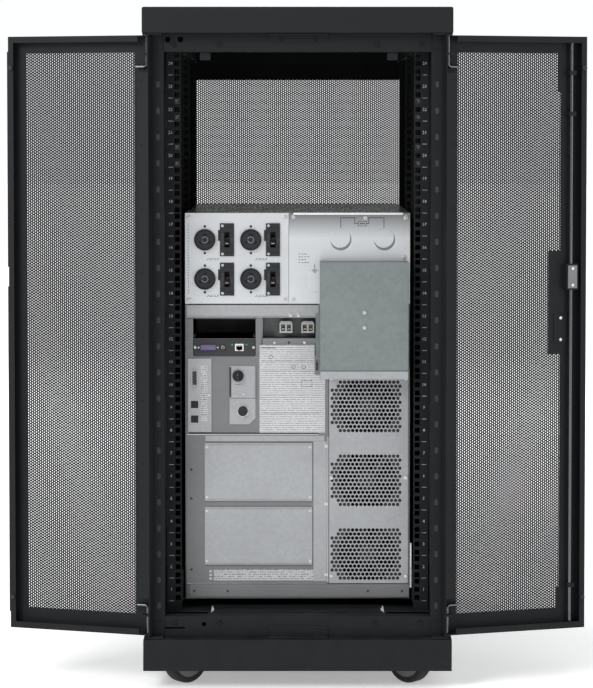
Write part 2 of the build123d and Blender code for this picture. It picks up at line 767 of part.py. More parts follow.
def power_modules():
    """Plug-in power modules with pull handles, one to each shelf of the right column."""
    modules = []
    for row in range(bay_rows):
        module = bay_module(row, 1)
        box = module.bounding_box()
        hollow = block(box.min.X + 3.0, box.max.X - 3.0, box.min.Y + 3.0, front_rail_y - 3.0,
                       box.min.Z + 3.0, box.max.Z - 3.0)
        modules.append(module - hollow)
    return modules


def bay_module(row, side):
    """One module on its shelf, with a bar handle on its front."""
    low_x, high_x = sorted((side * (ups_sheet / 2 + module_side_gap),
                            side * (ups_half - ups_sheet - module_side_gap)))
    low_z = shelf_height(row)
    high_z = shelf_height(row + 1) - ups_sheet - module_top_gap
    module = block(low_x, high_x, front_rail_y - module_depth, front_rail_y, low_z, high_z)
    middle_x = (low_x + high_x) / 2
    middle_z = (low_z + high_z) / 2
    handle = block(middle_x - 50.0, middle_x + 50.0, front_rail_y, front_rail_y + 26.0,
                   middle_z - 5.0, middle_z + 5.0)
    handle -= block(middle_x - 44.0, middle_x + 44.0, front_rail_y, front_rail_y + 20.0,
                    middle_z - 5.0, middle_z + 5.0)
    return module + handle


def display_panel():
    """The front bezel over the module bays, with a recessed screen and a row of flat keys."""
    low = shelf_height(bay_rows)
    panel = block(-ups_half + ups_sheet + 1.0, ups_half - ups_sheet - 1.0, front_rail_y - 60.0,
                  front_rail_y + 18.0, low, ups_top - ups_sheet - 1.0)
    middle_z = (low + ups_top) / 2
    panel -= block(-60.0, 60.0, front_rail_y + 15.0, front_rail_y + 18.0, middle_z - 20.0, middle_z + 20.0)
    for step in range(4):
        x = 90.0 + 22.0 * step
        panel += block(x - 8.0, x + 8.0, front_rail_y + 18.0, front_rail_y + 19.0,
                       middle_z - 5.0, middle_z + 5.0)
    return panel


def management_card():
    """A plug-in card with a serial, a round and a network socket on its face."""
    face = block(card_left + 1.0, card_right - 1.0, panel_y, ups_rear_y, card_bottom, card_split - 0.5)
    middle_z = (card_bottom + card_split) / 2
    board = block(card_left + 8.0, card_right - 8.0, ups_rear_y, ups_rear_y + 170.0,
                  card_bottom + 6.0, card_bottom + 8.0)
    socket = block(card_left + 11.7, card_left + 47.6, panel_y - 4.0, ups_rear_y + 14.0,
                   middle_z - 6.0, middle_z + 6.0)
    socket = fillet(socket.edges().filter_by(Axis.Y), 2.5)
    round_socket = level_y(card_left + 58.0, middle_z, 6.0, panel_y - 2.5, ups_rear_y + 14.0)
    network = block(card_left + 81.5, card_left + 98.5, panel_y - 1.0, ups_rear_y + 14.0,
                    middle_z - 7.0, middle_z + 7.0)
    network -= block(card_left + 84.0, card_left + 96.0, panel_y - 1.0, panel_y + 1.0,
                     middle_z - 5.0, middle_z + 4.0)
    return face + board + socket + round_socket + network


def comms_module():
    """A narrow upright module with a serial socket and two network sockets."""
    face = block(comms_left, comms_right, panel_y - 1.5, ups_rear_y, comms_bottom, comms_top)
    face += block(comms_left + 4.0, comms_right - 4.0, ups_rear_y, ups_rear_y + 120.0,
                  comms_bottom + 4.0, comms_top - 4.0)
    socket_x = comms_left + 13.2
    serial_z = comms_top - 38.0
    serial = block(socket_x - 6.0, socket_x + 6.0, panel_y - 6.0, panel_y - 1.5,
                   serial_z - 14.5, serial_z + 14.5)
    face += fillet(serial.edges().filter_by(Axis.Y), 2.5)
    for drop in (90.0, 118.5):
        z = comms_top - drop
        face -= block(socket_x - 7.0, socket_x + 7.0, panel_y - 1.5, panel_y + 1.0, z - 7.0, z + 7.0)
    return face


bypass_x = -116.0
bypass_z = ups_bottom + 437.5
knob_shaft_radius = 4.0
service_left = -132.6
service_right = -82.0
service_split = ups_bottom + 393.5


def service_plates():
    """The bypass switch plate, and below it the plate with the external battery connector."""
    upper = block(service_left, service_right, panel_y, ups_rear_y, service_split + 0.5,
                  service_split + 63.0)
    upper -= level_y(bypass_x, bypass_z, knob_shaft_radius + pin_clearance, panel_y, ups_rear_y)
    lower = block(service_left, service_right, panel_y, ups_rear_y, service_split - 51.0,
                  service_split - 0.5)
    corner = lower.edges().filter_by(Axis.Y).sort_by(Axis.Z)[:2].sort_by(Axis.X)[-1]
    lower = chamfer(corner, 12.0)
    lower += level_y(service_left + 26.0, service_split - 25.0, 9.5, panel_y - 9.0, panel_y)
    return [upper, lower]


def bypass_knob():
    """The maintenance bypass knob, with a pointer bar across its face."""
    face = panel_y - handle_gap
    knob = level_y(bypass_x, bypass_z, knob_radius, face - 6.0, face)
    knob += block(bypass_x - 3.0, bypass_x + 3.0, face - knob_height, face - 6.0,
                  bypass_z - knob_radius + 1.0, bypass_z + knob_radius - 1.0)
    return knob + level_y(bypass_x, bypass_z, knob_shaft_radius, face, ups_rear_y + 12.0)


def battery_connectors():
    """Two battery connectors on the back wall of their recess."""
    middle_z = cavity_bottom + 20.0
    connectors = []
    for left in (-35.2, 7.2):
        body = block(left, left + 25.4, ups_rear_y + 8.0, ups_rear_y + cavity_depth - ups_sheet,
                     middle_z - 10.5, middle_z + 10.5)
        for middle_x in (left + 7.0, left + 18.4):
            body -= block(middle_x - 4.0, middle_x + 4.0, ups_rear_y + 8.0, ups_rear_y + 22.0,
                          middle_z - 6.5, middle_z + 6.5)
        connectors.append(body)
    return connectors


def cover_plates():
    """Two screwed covers over the rear service openings."""
    plates = []
    for low in (lower_plate_bottom, upper_plate_bottom):
        plate = block(plates_left, plates_right, panel_y, ups_rear_y, low, low + plate_height)
        plates.append(fillet(plate.edges().filter_by(Axis.Y), 4.0))
    return plates


def fan_panel():
    """The galvanised panel in front of the three fans."""
    panel = block(fan_column_start, ups_half - 3.0, panel_y, ups_rear_y, fan_panel_bottom, fan_panel_top)
    return panel


def fan_frames():
    """Three square fan frames, each with a motor seat on four struts."""
    frames = []
    half = fan_size / 2
    start = ups_rear_y + ups_sheet
    end = start + fan_thickness
    for z in fan_heights():
        frame = block(fan_x - half, fan_x + half, start, end, z - half, z + half)
        frame = fillet(frame.edges().filter_by(Axis.Y), 6.0)
        frame -= level_y(fan_x, z, fan_bore_radius, start, end)
        frame += level_y(fan_x, z, fan_hub_radius, end - 5.0, end)
        frame += block(fan_x - fan_bore_radius - 1.0, fan_x + fan_bore_radius + 1.0, end - 5.0, end,
                       z - 3.0, z + 3.0)
        frame += block(fan_x - 3.0, fan_x + 3.0, end - 5.0, end,
                       z - fan_bore_radius - 1.0, z + fan_bore_radius + 1.0)
        frame -= level_y(fan_x, z, 3.0 + pin_clearance, end - 5.0, end)
        frames.append(frame)
    return frames


def fan_rotor(z):
    """A hub with pitched blades and a shaft that turns in the frame's motor seat."""
    start = ups_rear_y + ups_sheet + 2.0
    end = ups_rear_y + ups_sheet + fan_thickness
    hub_end = end - 6.0
    middle_y = (start + hub_end) / 2
    rotor = level_y(fan_x, z, fan_hub_radius, start, hub_end)
    tip = fan_bore_radius - fan_tip_gap
    reach = tip - fan_hub_radius + 4.0
    for step in range(fan_blades):
        blade = Pos(fan_hub_radius - 4.0 + reach / 2 - 1.0, 0, 0) * Rot(38, 0, 0) * Box(reach - 2.0, 3.0, 26.0)
        rotor += Pos(fan_x, middle_y, z) * Rot(0, step * 360 / fan_blades, 0) * blade
    limit = level_y(fan_x, z, tip, start, hub_end)
    return (rotor & limit) + level_y(fan_x, z, 3.0, hub_end, end - 0.5)


# ---------------------------------------------------------------- power distribution unit
pdu_seam_x = -17.0
socket_columns = (-180.3, -90.8)
socket_rows = (ups_top + 48.8, ups_top + 125.1)
breaker_columns = (-137.2, -47.8)
breaker_rows = (ups_top + 48.4, ups_top + 125.1)
knockouts = ((84.2, ups_top + 125.1), (169.1, ups_top + 125.1), (37.5, ups_top + 44.6))
knockout_radius = 22.5
cover_left = 43.4
cover_right = 214.0
cover_bottom = ups_top - 129.5
cover_top = ups_top + 84.3


def pdu_case():
    """The distribution unit's case, open at the rear for its two panels."""
    wall = ups_sheet
    case = block(-ups_half, ups_half, ups_rear_y, ups_rear_y + pdu_depth, ups_top, pdu_top - 0.6)
    case -= block(-ups_half + wall, ups_half - wall, ups_rear_y, ups_rear_y + pdu_depth - wall,
                  ups_top + wall, pdu_top - 0.6 - wall)
    return case


def pdu_panels():
    """The outlet panel with its cut-outs, and the wiring panel with pressed knockouts."""
    high = pdu_top - 0.6
    outlets = block(-ups_half, pdu_seam_x - 0.3, panel_y, ups_rear_y, ups_top + 0.5, high)
    for x in socket_columns:
        for z in socket_rows:
            outlets -= level_y(x, z, socket_radius - 2.0, panel_y, ups_rear_y)
    for x in breaker_columns:
        for z in breaker_rows:
            outlets -= block(x - breaker_width / 2, x + breaker_width / 2, panel_y, ups_rear_y,
                             z - breaker_height / 2, z + breaker_height / 2)
    wiring = block(pdu_seam_x + 0.3, ups_half, panel_y, ups_rear_y, ups_top + 0.5, high)
    for x, z in knockouts:
        ring = level_y(x, z, knockout_radius, panel_y, panel_y + 0.6)
        wiring -= ring - level_y(x, z, knockout_radius - 1.5, panel_y, panel_y + 0.6)
    return [outlets, wiring]


def locking_sockets():
    """Round twist-lock outlets with a raised rim and a grooved face."""
    sockets = []
    for x in socket_columns:
        for z in socket_rows:
            body = level_y(x, z, socket_radius, panel_y - socket_proud, panel_y)
            body -= level_y(x, z, socket_radius - 2.2, panel_y - socket_proud, panel_y - socket_proud + 4.0)
            body += level_y(x, z, socket_radius - 5.5, panel_y - socket_proud + 1.0, panel_y)
            body += level_y(x, z, socket_radius - 2.0, panel_y, ups_rear_y + 34.0)
            sockets.append(body)
    return sockets


lever_width = 9.0
lever_reach = 13.0
lever_pivot_depth = 6.0


def breaker_bodies():
    """Breakers set into the outlet panel, each with a slot for its lever."""
    breakers = []
    for x in breaker_columns:
        for z in breaker_rows:
            body = block(x - breaker_width / 2, x + breaker_width / 2, panel_y - breaker_proud,
                         ups_rear_y + 55.0, z - breaker_height / 2, z + breaker_height / 2)
            body -= block(x - lever_width / 2 - 0.5, x + lever_width / 2 + 0.5, panel_y - breaker_proud,
                          panel_y + 14.0, z - 15.0, z + 15.0)
            breakers.append(body)
    return breakers


def breaker_lever(x, z):
    """A lever that rocks in its breaker's slot, on a cross pin held in the slot's sides."""
    pivot_y = panel_y + lever_pivot_depth
    rocker = level_x(pivot_y, z, 6.0, x - lever_width / 2, x + lever_width / 2)
    stick = block(x - lever_width / 2, x + lever_width / 2, pivot_y - lever_reach - breaker_proud,
                  pivot_y, z - 3.0, z + 3.0)
    lever = rocker + stick
    return Pos(x, pivot_y, z) * Rot(22, 0, 0) * Pos(-x, -pivot_y, -z) * lever


def wiring_cover():
    """A deep sheet cover over the field wiring, open against the panels, with a lower flange."""
    start = panel_y - wiring_cover_proud
    cover = block(cover_left, cover_right, start, panel_y, cover_bottom, cover_top)
    cover -= block(cover_left + ups_sheet, cover_right - ups_sheet, start + ups_sheet, panel_y,
                   cover_bottom + ups_sheet, cover_top - ups_sheet)
    cover += block(cover_left, cover_right, start, start + ups_sheet, cover_bottom - 12.0, cover_bottom)
    flange = block(cover_left - 8.0, cover_left, panel_y - ups_sheet, panel_y, cover_bottom + 20.0,
                   ups_top - 18.0)
    return cover + flange


# ---------------------------------------------------------------- fasteners
def pan_head(x, z, face_y, radius=4.0, proud=2.4):
    """A pan-head screw on a rear-facing plate."""
    head = level_y(x, z, radius, face_y - proud, face_y)
    return fillet(head.edges().sort_by(Axis.Y)[:1], 0.8)


def panel_screws():
    """Screws of the UPS and distribution panels, all of one size."""
    screws = []
    high = pdu_top - 8.0
    for x in (-ups_half + 8.0, pdu_seam_x - 7.0, pdu_seam_x + 9.0, ups_half - 7.0):
        for z in (ups_top + 8.5, high):
            hidden = x > cover_left and z < cover_top
            if not hidden:
                screws.append(pan_head(x, z, panel_y))
    screws.append(pan_head((socket_columns[0] + socket_columns[1]) / 2 + 270.0, high, panel_y))
    for x in (card_left + 4.0, card_right - 4.0):
        screws.append(pan_head(x, (card_bottom + card_split) / 2, panel_y, 3.0, 2.0))
    for low in (lower_plate_bottom, upper_plate_bottom):
        for x in (plates_left + 4.5, plates_right - 4.5):
            for z in (low + 4.5, low + plate_height - 4.5):
                screws.append(pan_head(x, z, panel_y, 2.6, 1.6))
    for z in (fan_panel_bottom + 14.0, fan_middle_z + 4.5, fan_panel_top - 10.0):
        screws.append(pan_head(ups_half - 7.5, z, panel_y, 3.2, 2.0))
        screws.append(pan_head(fan_column_start + 4.0, z, panel_y, 3.2, 2.0))
    screws.append(pan_head(service_left + 27.6, service_split + 8.0, panel_y, 3.0, 2.0))
    screws.append(pan_head(comms_right - 5.0, comms_top - 71.3, panel_y - 1.5, 3.0, 2.0))
    for z in (ups_bottom + 43.4, ups_bottom + 106.3):
        screws.append(pan_head((cover_left + cover_right) / 2, cover_bottom + z - ups_bottom + 10.0,
                               panel_y - wiring_cover_proud, 3.0, 2.0))
    return screws


def rail_screws():
    """Screws through the UPS ears into the front rails."""
    screws = []
    ear_face = front_rail_y + rail_gauge
    for unit in (0, 4, 8, 12):
        z = first_unit + (unit + 0.5) * unit_pitch
        head = level_y(rail_hole_spacing / 2, z, 5.0, ear_face, ear_face + 3.0)
        screws += both_sides(fillet(head.edges().sort_by(Axis.Y)[-1:], 1.0))
    return screws


# ---------------------------------------------------------------- build every node
save("corner_posts", corner_posts())
save("frame_beams", frame_beams())
save("rear_header", rear_header())
save("rear_sill", rear_sill())
save("roof_cap", roof_cap())
save("plinth_skirt", plinth_skirt())
save("side_panels", side_panels())
save("mounting_rails", mounting_rails())
save("floor_panel", floor_panel())
save("lock_strikes", lock_strikes())
save("support_rails", support_rails())
save("hinge_brackets", hinge_brackets() + front_hinge_brackets())

left_window_end = door_reach - left_window_end_margin
right_window_end = door_reach - right_window_end_margin
save("left_rear_door", fold_left(door_pan(left_window_start, left_window_end, False)))
save("left_door_sheet", fold_left(door_sheet(left_window_start, left_window_end)))
save("door_astragal", fold_left(astragal()))
save("right_rear_door", fold_right(door_pan(right_window_start, right_window_end, True)))
save("right_door_sheet", fold_right(door_sheet(right_window_start, right_window_end)))
save("left_upper_hinge_pin", fold_left(hinge_pin(True)))
save("left_lower_hinge_pin", fold_left(hinge_pin(False)))
save("right_upper_hinge_pin", fold_right(hinge_pin(True)))
save("right_lower_hinge_pin", fold_right(hinge_pin(False)))
save("latch_body", [fold_right(shape) for shape in latch_body()])
save("rear_door_handle", fold_right(door_handle()))
save("upper_lock_rod", fold_right(lock_rod(True)))
save("lower_lock_rod", fold_right(lock_rod(False)))

save("front_door", front_door())
save("front_door_sheet", front_door_sheet())
save("front_door_handle", front_door_handle())

save("castor_mounts", castor_mounts())
for side, name in ((-1, "left"), (1, "right")):
    save(f"rear_{name}_castor_fork", place_rear_castor(castor_fork_body(True), side))
    save(f"rear_{name}_castor_wheel", place_rear_castor(castor_wheel(), side))
    save(f"front_{name}_castor_wheel", place_front_castor(castor_wheel(), side))

save("ups_chassis", ups_chassis())
save("battery_modules", battery_modules())
save("power_modules", power_modules())
save("display_panel", display_panel())
save("management_card", management_card())
save("comms_module", comms_module())
save("service_plates", service_plates())
save("bypass_knob", bypass_knob())
save("battery_connectors", battery_connectors())
save("cover_plates", cover_plates())
save("fan_panel", fan_panel())
save("fan_frames", fan_frames())
for number, height in enumerate(fan_heights(), 1):
    save(f"fan_rotor_{number}", fan_rotor(height))

save("pdu_case", pdu_case())
save("pdu_panels", pdu_panels())
save("locking_sockets", locking_sockets())
save("breaker_bodies", breaker_bodies())
number = 0
for x in breaker_columns:
    for z in breaker_rows:
        number += 1
        save(f"breaker_lever_{number}", breaker_lever(x, z))
save("wiring_cover", wiring_cover())
save("panel_screws", panel_screws() + rail_screws())
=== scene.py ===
import json
import math

import bmesh
import bpy
from mathutils import Matrix, Vector


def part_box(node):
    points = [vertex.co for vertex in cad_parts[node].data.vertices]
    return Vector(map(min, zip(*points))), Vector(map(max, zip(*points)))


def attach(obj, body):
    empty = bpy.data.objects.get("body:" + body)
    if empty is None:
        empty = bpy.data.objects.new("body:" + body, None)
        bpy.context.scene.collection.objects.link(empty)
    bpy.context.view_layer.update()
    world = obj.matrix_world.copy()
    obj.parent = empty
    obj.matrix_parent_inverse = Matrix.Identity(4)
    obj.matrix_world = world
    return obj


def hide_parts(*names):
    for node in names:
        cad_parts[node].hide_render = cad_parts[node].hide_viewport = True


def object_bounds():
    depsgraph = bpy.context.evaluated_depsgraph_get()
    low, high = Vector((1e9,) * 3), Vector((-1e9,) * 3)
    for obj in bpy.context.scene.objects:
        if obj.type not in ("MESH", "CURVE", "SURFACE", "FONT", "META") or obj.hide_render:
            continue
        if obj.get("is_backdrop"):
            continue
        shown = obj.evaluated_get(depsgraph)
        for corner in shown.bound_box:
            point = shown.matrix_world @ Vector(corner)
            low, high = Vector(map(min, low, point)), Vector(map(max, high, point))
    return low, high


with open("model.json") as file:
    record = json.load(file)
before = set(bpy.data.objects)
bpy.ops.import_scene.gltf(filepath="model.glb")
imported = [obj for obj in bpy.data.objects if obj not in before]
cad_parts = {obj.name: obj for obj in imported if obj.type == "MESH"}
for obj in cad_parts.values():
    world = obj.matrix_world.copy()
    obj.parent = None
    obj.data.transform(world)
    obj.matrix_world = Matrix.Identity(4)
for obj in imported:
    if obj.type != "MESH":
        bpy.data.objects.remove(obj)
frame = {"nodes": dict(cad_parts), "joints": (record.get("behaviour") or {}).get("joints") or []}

bl_info = {
    "name": "Rack enclosure with modular UPS",
    "version": (1, 0, 0),
    "blender": (4, 5, 0),
    "location": "View3D > Sidebar > Rack",
    "description": "Builds the looks of a networking enclosure and the power equipment in it",
    "category": "Object",
}

CAD_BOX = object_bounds()
HINGES = {joint["name"]: joint for joint in frame["joints"]}


def span(node):
    """A CAD node's lowest and highest corners in millimetres."""
    low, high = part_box(node)
    return Vector(low) * 1000, Vector(high) * 1000


def axis_of(joint):
    """Where a joint's axis passes, in millimetres."""
    return Vector(HINGES[joint]["pos_m"]) * 1000


PANEL_Y = span("pdu_panels")[0].y
WALL_Y = span("pdu_panels")[1].y
UPS_LOW, UPS_HIGH = span("ups_chassis")
UPS_BOTTOM, UPS_TOP = UPS_LOW.z, UPS_HIGH.z
UNIT = 44.45
HOLE_COLUMN = 465.1 / 2
UNIT_HOLE = 15.875
MODULE_FACE = UPS_HIGH.y - 2.0
REAR, FRONT = (0, -1, 0), (0, 1, 0)
DOOR_LOW, DOOR_HIGH = span("left_rear_door")[0].z, span("left_rear_door")[1].z
LEFT_HINGE = axis_of("left_rear_door_swing")
RIGHT_HINGE = axis_of("right_rear_door_swing")
FOLD = math.radians(HINGES["left_rear_door_swing"]["range_deg"][1])
LATCH_X = -252.5


# ---------------------------------------------------------------- settings
class RackFinishSettings(bpy.types.PropertyGroup):
    coat: bpy.props.FloatVectorProperty(
        name="Powder coat", description="Colour of the enclosure's powder coat",
        subtype="COLOR", size=4, min=0, max=1, default=(0.0048, 0.0056, 0.0066, 1))
    sheet: bpy.props.FloatVectorProperty(
        name="Galvanised sheet", description="Colour of the power equipment's bare sheet metal",
        subtype="COLOR", size=4, min=0, max=1, default=(0.31, 0.318, 0.327, 1))
    plating: bpy.props.FloatVectorProperty(
        name="Zinc plating", description="Colour of screws, pins and rods",
        subtype="COLOR", size=4, min=0, max=1, default=(0.5, 0.5, 0.49, 1))
    wear: bpy.props.FloatProperty(
        name="Wear", description="How much the surfaces are rubbed and marked",
        subtype="FACTOR", min=0, max=1, default=0.35)
    dust: bpy.props.FloatProperty(
        name="Dust", description="How much dust lies low on the enclosure",
        subtype="FACTOR", min=0, max=1, default=0.16)
    fold_radius: bpy.props.FloatProperty(
        name="Fold radius", description="Rounding of the folds of sheet metal",
        unit="LENGTH", min=0.0001, max=0.003, default=0.0005, precision=5)


class RackSheetSettings(bpy.types.PropertyGroup):
    rear_pitch: bpy.props.FloatVectorProperty(
        name="Rear hole pitch", description="Width and height of the rear doors' repeating cell of two holes",
        unit="LENGTH", size=2, default=(0.0082, 0.00527), precision=5)
    front_pitch: bpy.props.FloatVectorProperty(
        name="Front hole pitch",
        description="Width and height of the front door's repeating cell of two holes",
        unit="LENGTH", size=2, default=(0.0090, 0.0052), precision=5)
    web: bpy.props.FloatProperty(
        name="Rear web", description="Metal left between two holes of the rear doors",
        unit="LENGTH", min=0.0005, max=0.004, default=0.00238, precision=5)
    front_web: bpy.props.FloatProperty(
        name="Front web", description="Metal left between two holes of the front door",
        unit="LENGTH", min=0.0005, max=0.004, default=0.0026, precision=5)
    fan_pitch: bpy.props.FloatVectorProperty(
        name="Fan grille pitch", description="Distance between holes and between rows of the fan grilles",
        unit="LENGTH", size=2, default=(0.0080, 0.0079), precision=5)
    fan_hole: bpy.props.FloatProperty(
        name="Fan grille hole", description="Diameter of the fan grilles' holes",
        unit="LENGTH", min=0.002, max=0.0075, default=0.007, precision=5)


class RackStageSettings(bpy.types.PropertyGroup):
    camera_place: bpy.props.FloatVectorProperty(
        name="Camera", description="Place of the camera", subtype="TRANSLATION", size=3,
        default=(0.0, -5.496, 1.074))
    lens: bpy.props.FloatProperty(
        name="Lens", description="Focal length on a 36 mm sensor", unit="CAMERA", default=136.6)
    shift: bpy.props.FloatVectorProperty(
        name="Shift", description="Sideways and upward shift of the lens", size=2, default=(-0.0015, -0.1378))
    pitch: bpy.props.FloatProperty(
        name="Pitch", description="How far the camera looks down", subtype="ANGLE", default=0.04644)
    floor: bpy.props.FloatVectorProperty(
        name="Floor", description="Colour of the floor",
        subtype="COLOR", size=4, min=0, max=1, default=(0.92, 0.925, 0.925, 1))
    light: bpy.props.FloatProperty(
        name="Light", description="Brightness of all the studio lamps",
        subtype="FACTOR", min=0, max=3, default=1.0)


# ---------------------------------------------------------------- modelling helpers
def mm(*values):
    """Millimetres as metres."""
    return Vector(values) * 0.001


def select_only(*pieces):
    bpy.ops.object.select_all(action="DESELECT")
    for piece in pieces:
        piece.select_set(True)
    bpy.context.view_layer.objects.active = pieces[0]


def settle(piece):
    """Puts a piece's place, turn and scale into its mesh."""
    select_only(piece)
    bpy.ops.object.transform_apply(location=True, rotation=True, scale=True)
    return piece


def move(piece, matrix):
    """Moves a settled piece by a matrix in metres and settles it again."""
    piece.matrix_world = matrix
    return settle(piece)


def apply(piece, kind, **settings):
    """Adds one modifier and applies it."""
    modifier = piece.modifiers.new("step", kind)
    for key, value in settings.items():
        setattr(modifier, key, value)
    select_only(piece)
    bpy.ops.object.modifier_apply(modifier=modifier.name)
    return piece


def round_edges(piece, width, segments=2, angle=40, clamp=True):
    return apply(piece, "BEVEL", width=width * 0.001, segments=segments, limit_method="ANGLE",
                 angle_limit=math.radians(angle), use_clamp_overlap=clamp)


def plate(low, high, edge=0.0, segments=2):
    """A block between two corners in millimetres, with rounded edges."""
    low, high = Vector(low), Vector(high)
    bpy.ops.object.select_all(action="DESELECT")
    bpy.ops.mesh.primitive_cube_add(size=1, location=(low + high) * 0.0005)
    piece = bpy.context.active_object
    piece.scale = (high - low) * 0.001
    settle(piece)
    return round_edges(piece, edge, segments) if edge else piece


def rod(start, end, radius, sides=24, edge=0.0, segments=2):
    """A round bar from one point to another in millimetres."""
    start, end = Vector(start), Vector(end)
    turn = (end - start).to_track_quat("Z", "Y").to_euler()
    bpy.ops.object.select_all(action="DESELECT")
    bpy.ops.mesh.primitive_cylinder_add(vertices=sides, radius=radius * 0.001,
                                        depth=(end - start).length * 0.001,
                                        location=(start + end) * 0.0005, rotation=turn)
    piece = settle(bpy.context.active_object)
    return round_edges(piece, edge, segments) if edge else piece


def shape(piece, test, step, kind="FACE", **settings):
    """Runs one edit-mode operator on the faces, edges or points that pass a test."""
    select_only(piece)
    bpy.ops.object.mode_set(mode="EDIT")
    bpy.ops.mesh.select_mode(type=kind)
    bpy.ops.mesh.select_all(action="DESELECT")
    mesh = bmesh.from_edit_mesh(piece.data)
    parts = {"FACE": mesh.faces, "EDGE": mesh.edges, "VERT": mesh.verts}[kind]
    for part in parts:
        if test(part):
            part.select_set(True)
    mesh.select_flush_mode()
    bmesh.update_edit_mesh(piece.data)
    step(**settings)
    bpy.ops.object.mode_set(mode="OBJECT")
    return piece


def facing(x, y, z, least=0.98):
    """A test for faces that look along a direction."""
    way = Vector((x, y, z)).normalized()
    return lambda face: face.normal.dot(way) > least


def outermost(piece, way):
    """A test for the faces that look along a direction and lie furthest that way."""
    way = Vector(way)
    far = max(corner.co.dot(way) for corner in piece.data.vertices)
    return lambda face: face.normal.dot(way) > 0.98 and face.calc_center_median().dot(way) > far - 2e-5


def inset(piece, way, margin, depth=0.0):
    """Insets the outermost face along a direction, then raises it (plus) or sinks it (minus)."""
    return shape(piece, outermost(piece, way), bpy.ops.mesh.inset, thickness=margin * 0.001,
                 depth=depth * 0.001)


def terrace(piece, way, *rings):
    """Insets the outermost face again and again, by the margin and depth of each ring."""
    for margin, depth in rings:
        inset(piece, way, margin, depth)
    return piece


def round_corners(piece, radius, segments):
    """Rounds the edges that run from the rear to the front, by a radius in millimetres."""
    along_y = lambda edge: abs(edge.verts[0].co.y - edge.verts[1].co.y) > 1e-5
    return shape(piece, along_y, bpy.ops.mesh.bevel, kind="EDGE", offset=radius * 0.001, segments=segments,
                 affect="EDGES")


def cut(piece, *cutters):
    """Cuts other pieces out of a piece and removes them."""
    crossing = 1 < len(cutters) < 5
    cutter = join(cutters)
    apply(piece, "BOOLEAN", operation="DIFFERENCE", solver="EXACT", object=cutter, use_self=crossing)
    bpy.data.objects.remove(cutter)
    if not piece.data.polygons:
        raise RuntimeError("a cut left nothing of a piece")
    return piece


def join(pieces):
    """Joins pieces into one mesh."""
    pieces = list(pieces)
    select_only(*pieces)
    if len(pieces) > 1:
        bpy.ops.object.join()
    return bpy.context.active_object


def twin(piece, step=(0, 0, 0), turn=None):
    """A copy with its own mesh, moved by millimetres after an optional turn."""
    copy = piece.copy()
    copy.data = piece.data.copy()
    bpy.context.scene.collection.objects.link(copy)
    copy.data.transform(Matrix.Translation(mm(*step)) @ (turn or Matrix.Identity(4)))
    return copy


def repeat(piece, steps):
    """The piece and copies of it, the piece itself at the first of the steps."""
    made = [twin(piece, step) for step in steps]
    bpy.data.objects.remove(piece)
    return made


def give(piece, name, body, finish, nodes=(), smooth=35):
    """Names a finished piece, gives it its finish and ties it to the CAD."""
    piece.name = name
    piece.data.name = name
    piece.data.materials.clear()
    for label in finish if isinstance(finish, list) else [finish]:
        piece.data.materials.append(FINISH[label])
    select_only(piece)
    bpy.ops.object.shade_smooth_by_angle(angle=math.radians(smooth))
    if len(piece.data.polygons) < 30000:
        apply(piece, "WEIGHTED_NORMAL", keep_sharp=True, weight=90)
    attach(piece, body)
    if nodes:
        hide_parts(*nodes)
    return piece


def welded(node):
    """A CAD node's shape as one clean mesh: points merged, flat faces joined."""
    piece = frame["nodes"][node].copy()
    piece.data = piece.data.copy()
    for key in list(piece.keys()):
        del piece[key]
    bpy.context.scene.collection.objects.link(piece)
    piece.hide_render = piece.hide_viewport = False
    shape(piece, lambda part: True, bpy.ops.mesh.remove_doubles, kind="VERT", threshold=1e-5)
    shape(piece, lambda part: True, bpy.ops.mesh.dissolve_limited, kind="FACE", angle_limit=math.radians(0.5))
    if "UVMap" in piece.data.attributes:
        piece.data.attributes.remove(piece.data.attributes["UVMap"])
    return piece


def folded(node, body, finish, fold=None, segments=2):
    """A sheet-metal node with its folds rounded."""
    radius = bpy.context.scene.rack_finish.fold_radius * 1000 if fold is None else fold
    piece = round_edges(welded(node), radius, segments, angle=50)
    return give(piece, node + "_folded", body, finish, (node,))


def hang(piece, side):
    """Swings a piece that was made at a closed rear door's own place to the folded door."""
    piece.data.transform(door_matrix(side))
    return piece


def door_matrix(side):
    """From a closed door's own place, hinge axis at the origin and free edge along -side X, to folded."""
    hinge = LEFT_HINGE if side < 0 else RIGHT_HINGE
    return Matrix.Translation(mm(hinge.x, hinge.y, 0)) @ Matrix.Rotation(side * FOLD, 4, "Z")


# ---------------------------------------------------------------- shader groups
def node(tree, kind, inputs=None, **settings):
    """A shader node with its settings made and its inputs set or linked."""
    made = tree.nodes.new(kind)
    for key, value in settings.items():
        setattr(made, key, value)
    for key, value in (inputs or {}).items():
        if isinstance(value, bpy.types.NodeSocket):
            tree.links.new(value, made.inputs[key])
        else:
            made.inputs[key].default_value = value
    return made


def math_node(tree, operation, first, second=0.0, clamp=False):
    made = node(tree, "ShaderNodeMath", {0: first, 1: second}, operation=operation, use_clamp=clamp)
    return made.outputs[0]


def ramp(tree, value, low, high, out_low=0.0, out_high=1.0):
    return node(tree, "ShaderNodeMapRange", {"Value": value, "From Min": low, "From Max": high,
                                             "To Min": out_low, "To Max": out_high}).outputs["Result"]


def group(name, inputs, outputs):
    """An empty node group with named number inputs and outputs."""
    tree = bpy.data.node_groups.new(name, "ShaderNodeTree")
    for label, default in inputs.items():
        socket = tree.interface.new_socket(name=label, in_out="INPUT", socket_type="NodeSocketFloat")
        socket.default_value = default
    for label in outputs:
        tree.interface.new_socket(name=label, in_out="OUTPUT", socket_type="NodeSocketFloat")
    start = tree.nodes.new("NodeGroupInput")
    end = tree.nodes.new("NodeGroupOutput")
    place = tree.nodes.new("ShaderNodeTexCoord").outputs["Object"]
    return tree, start, end, place


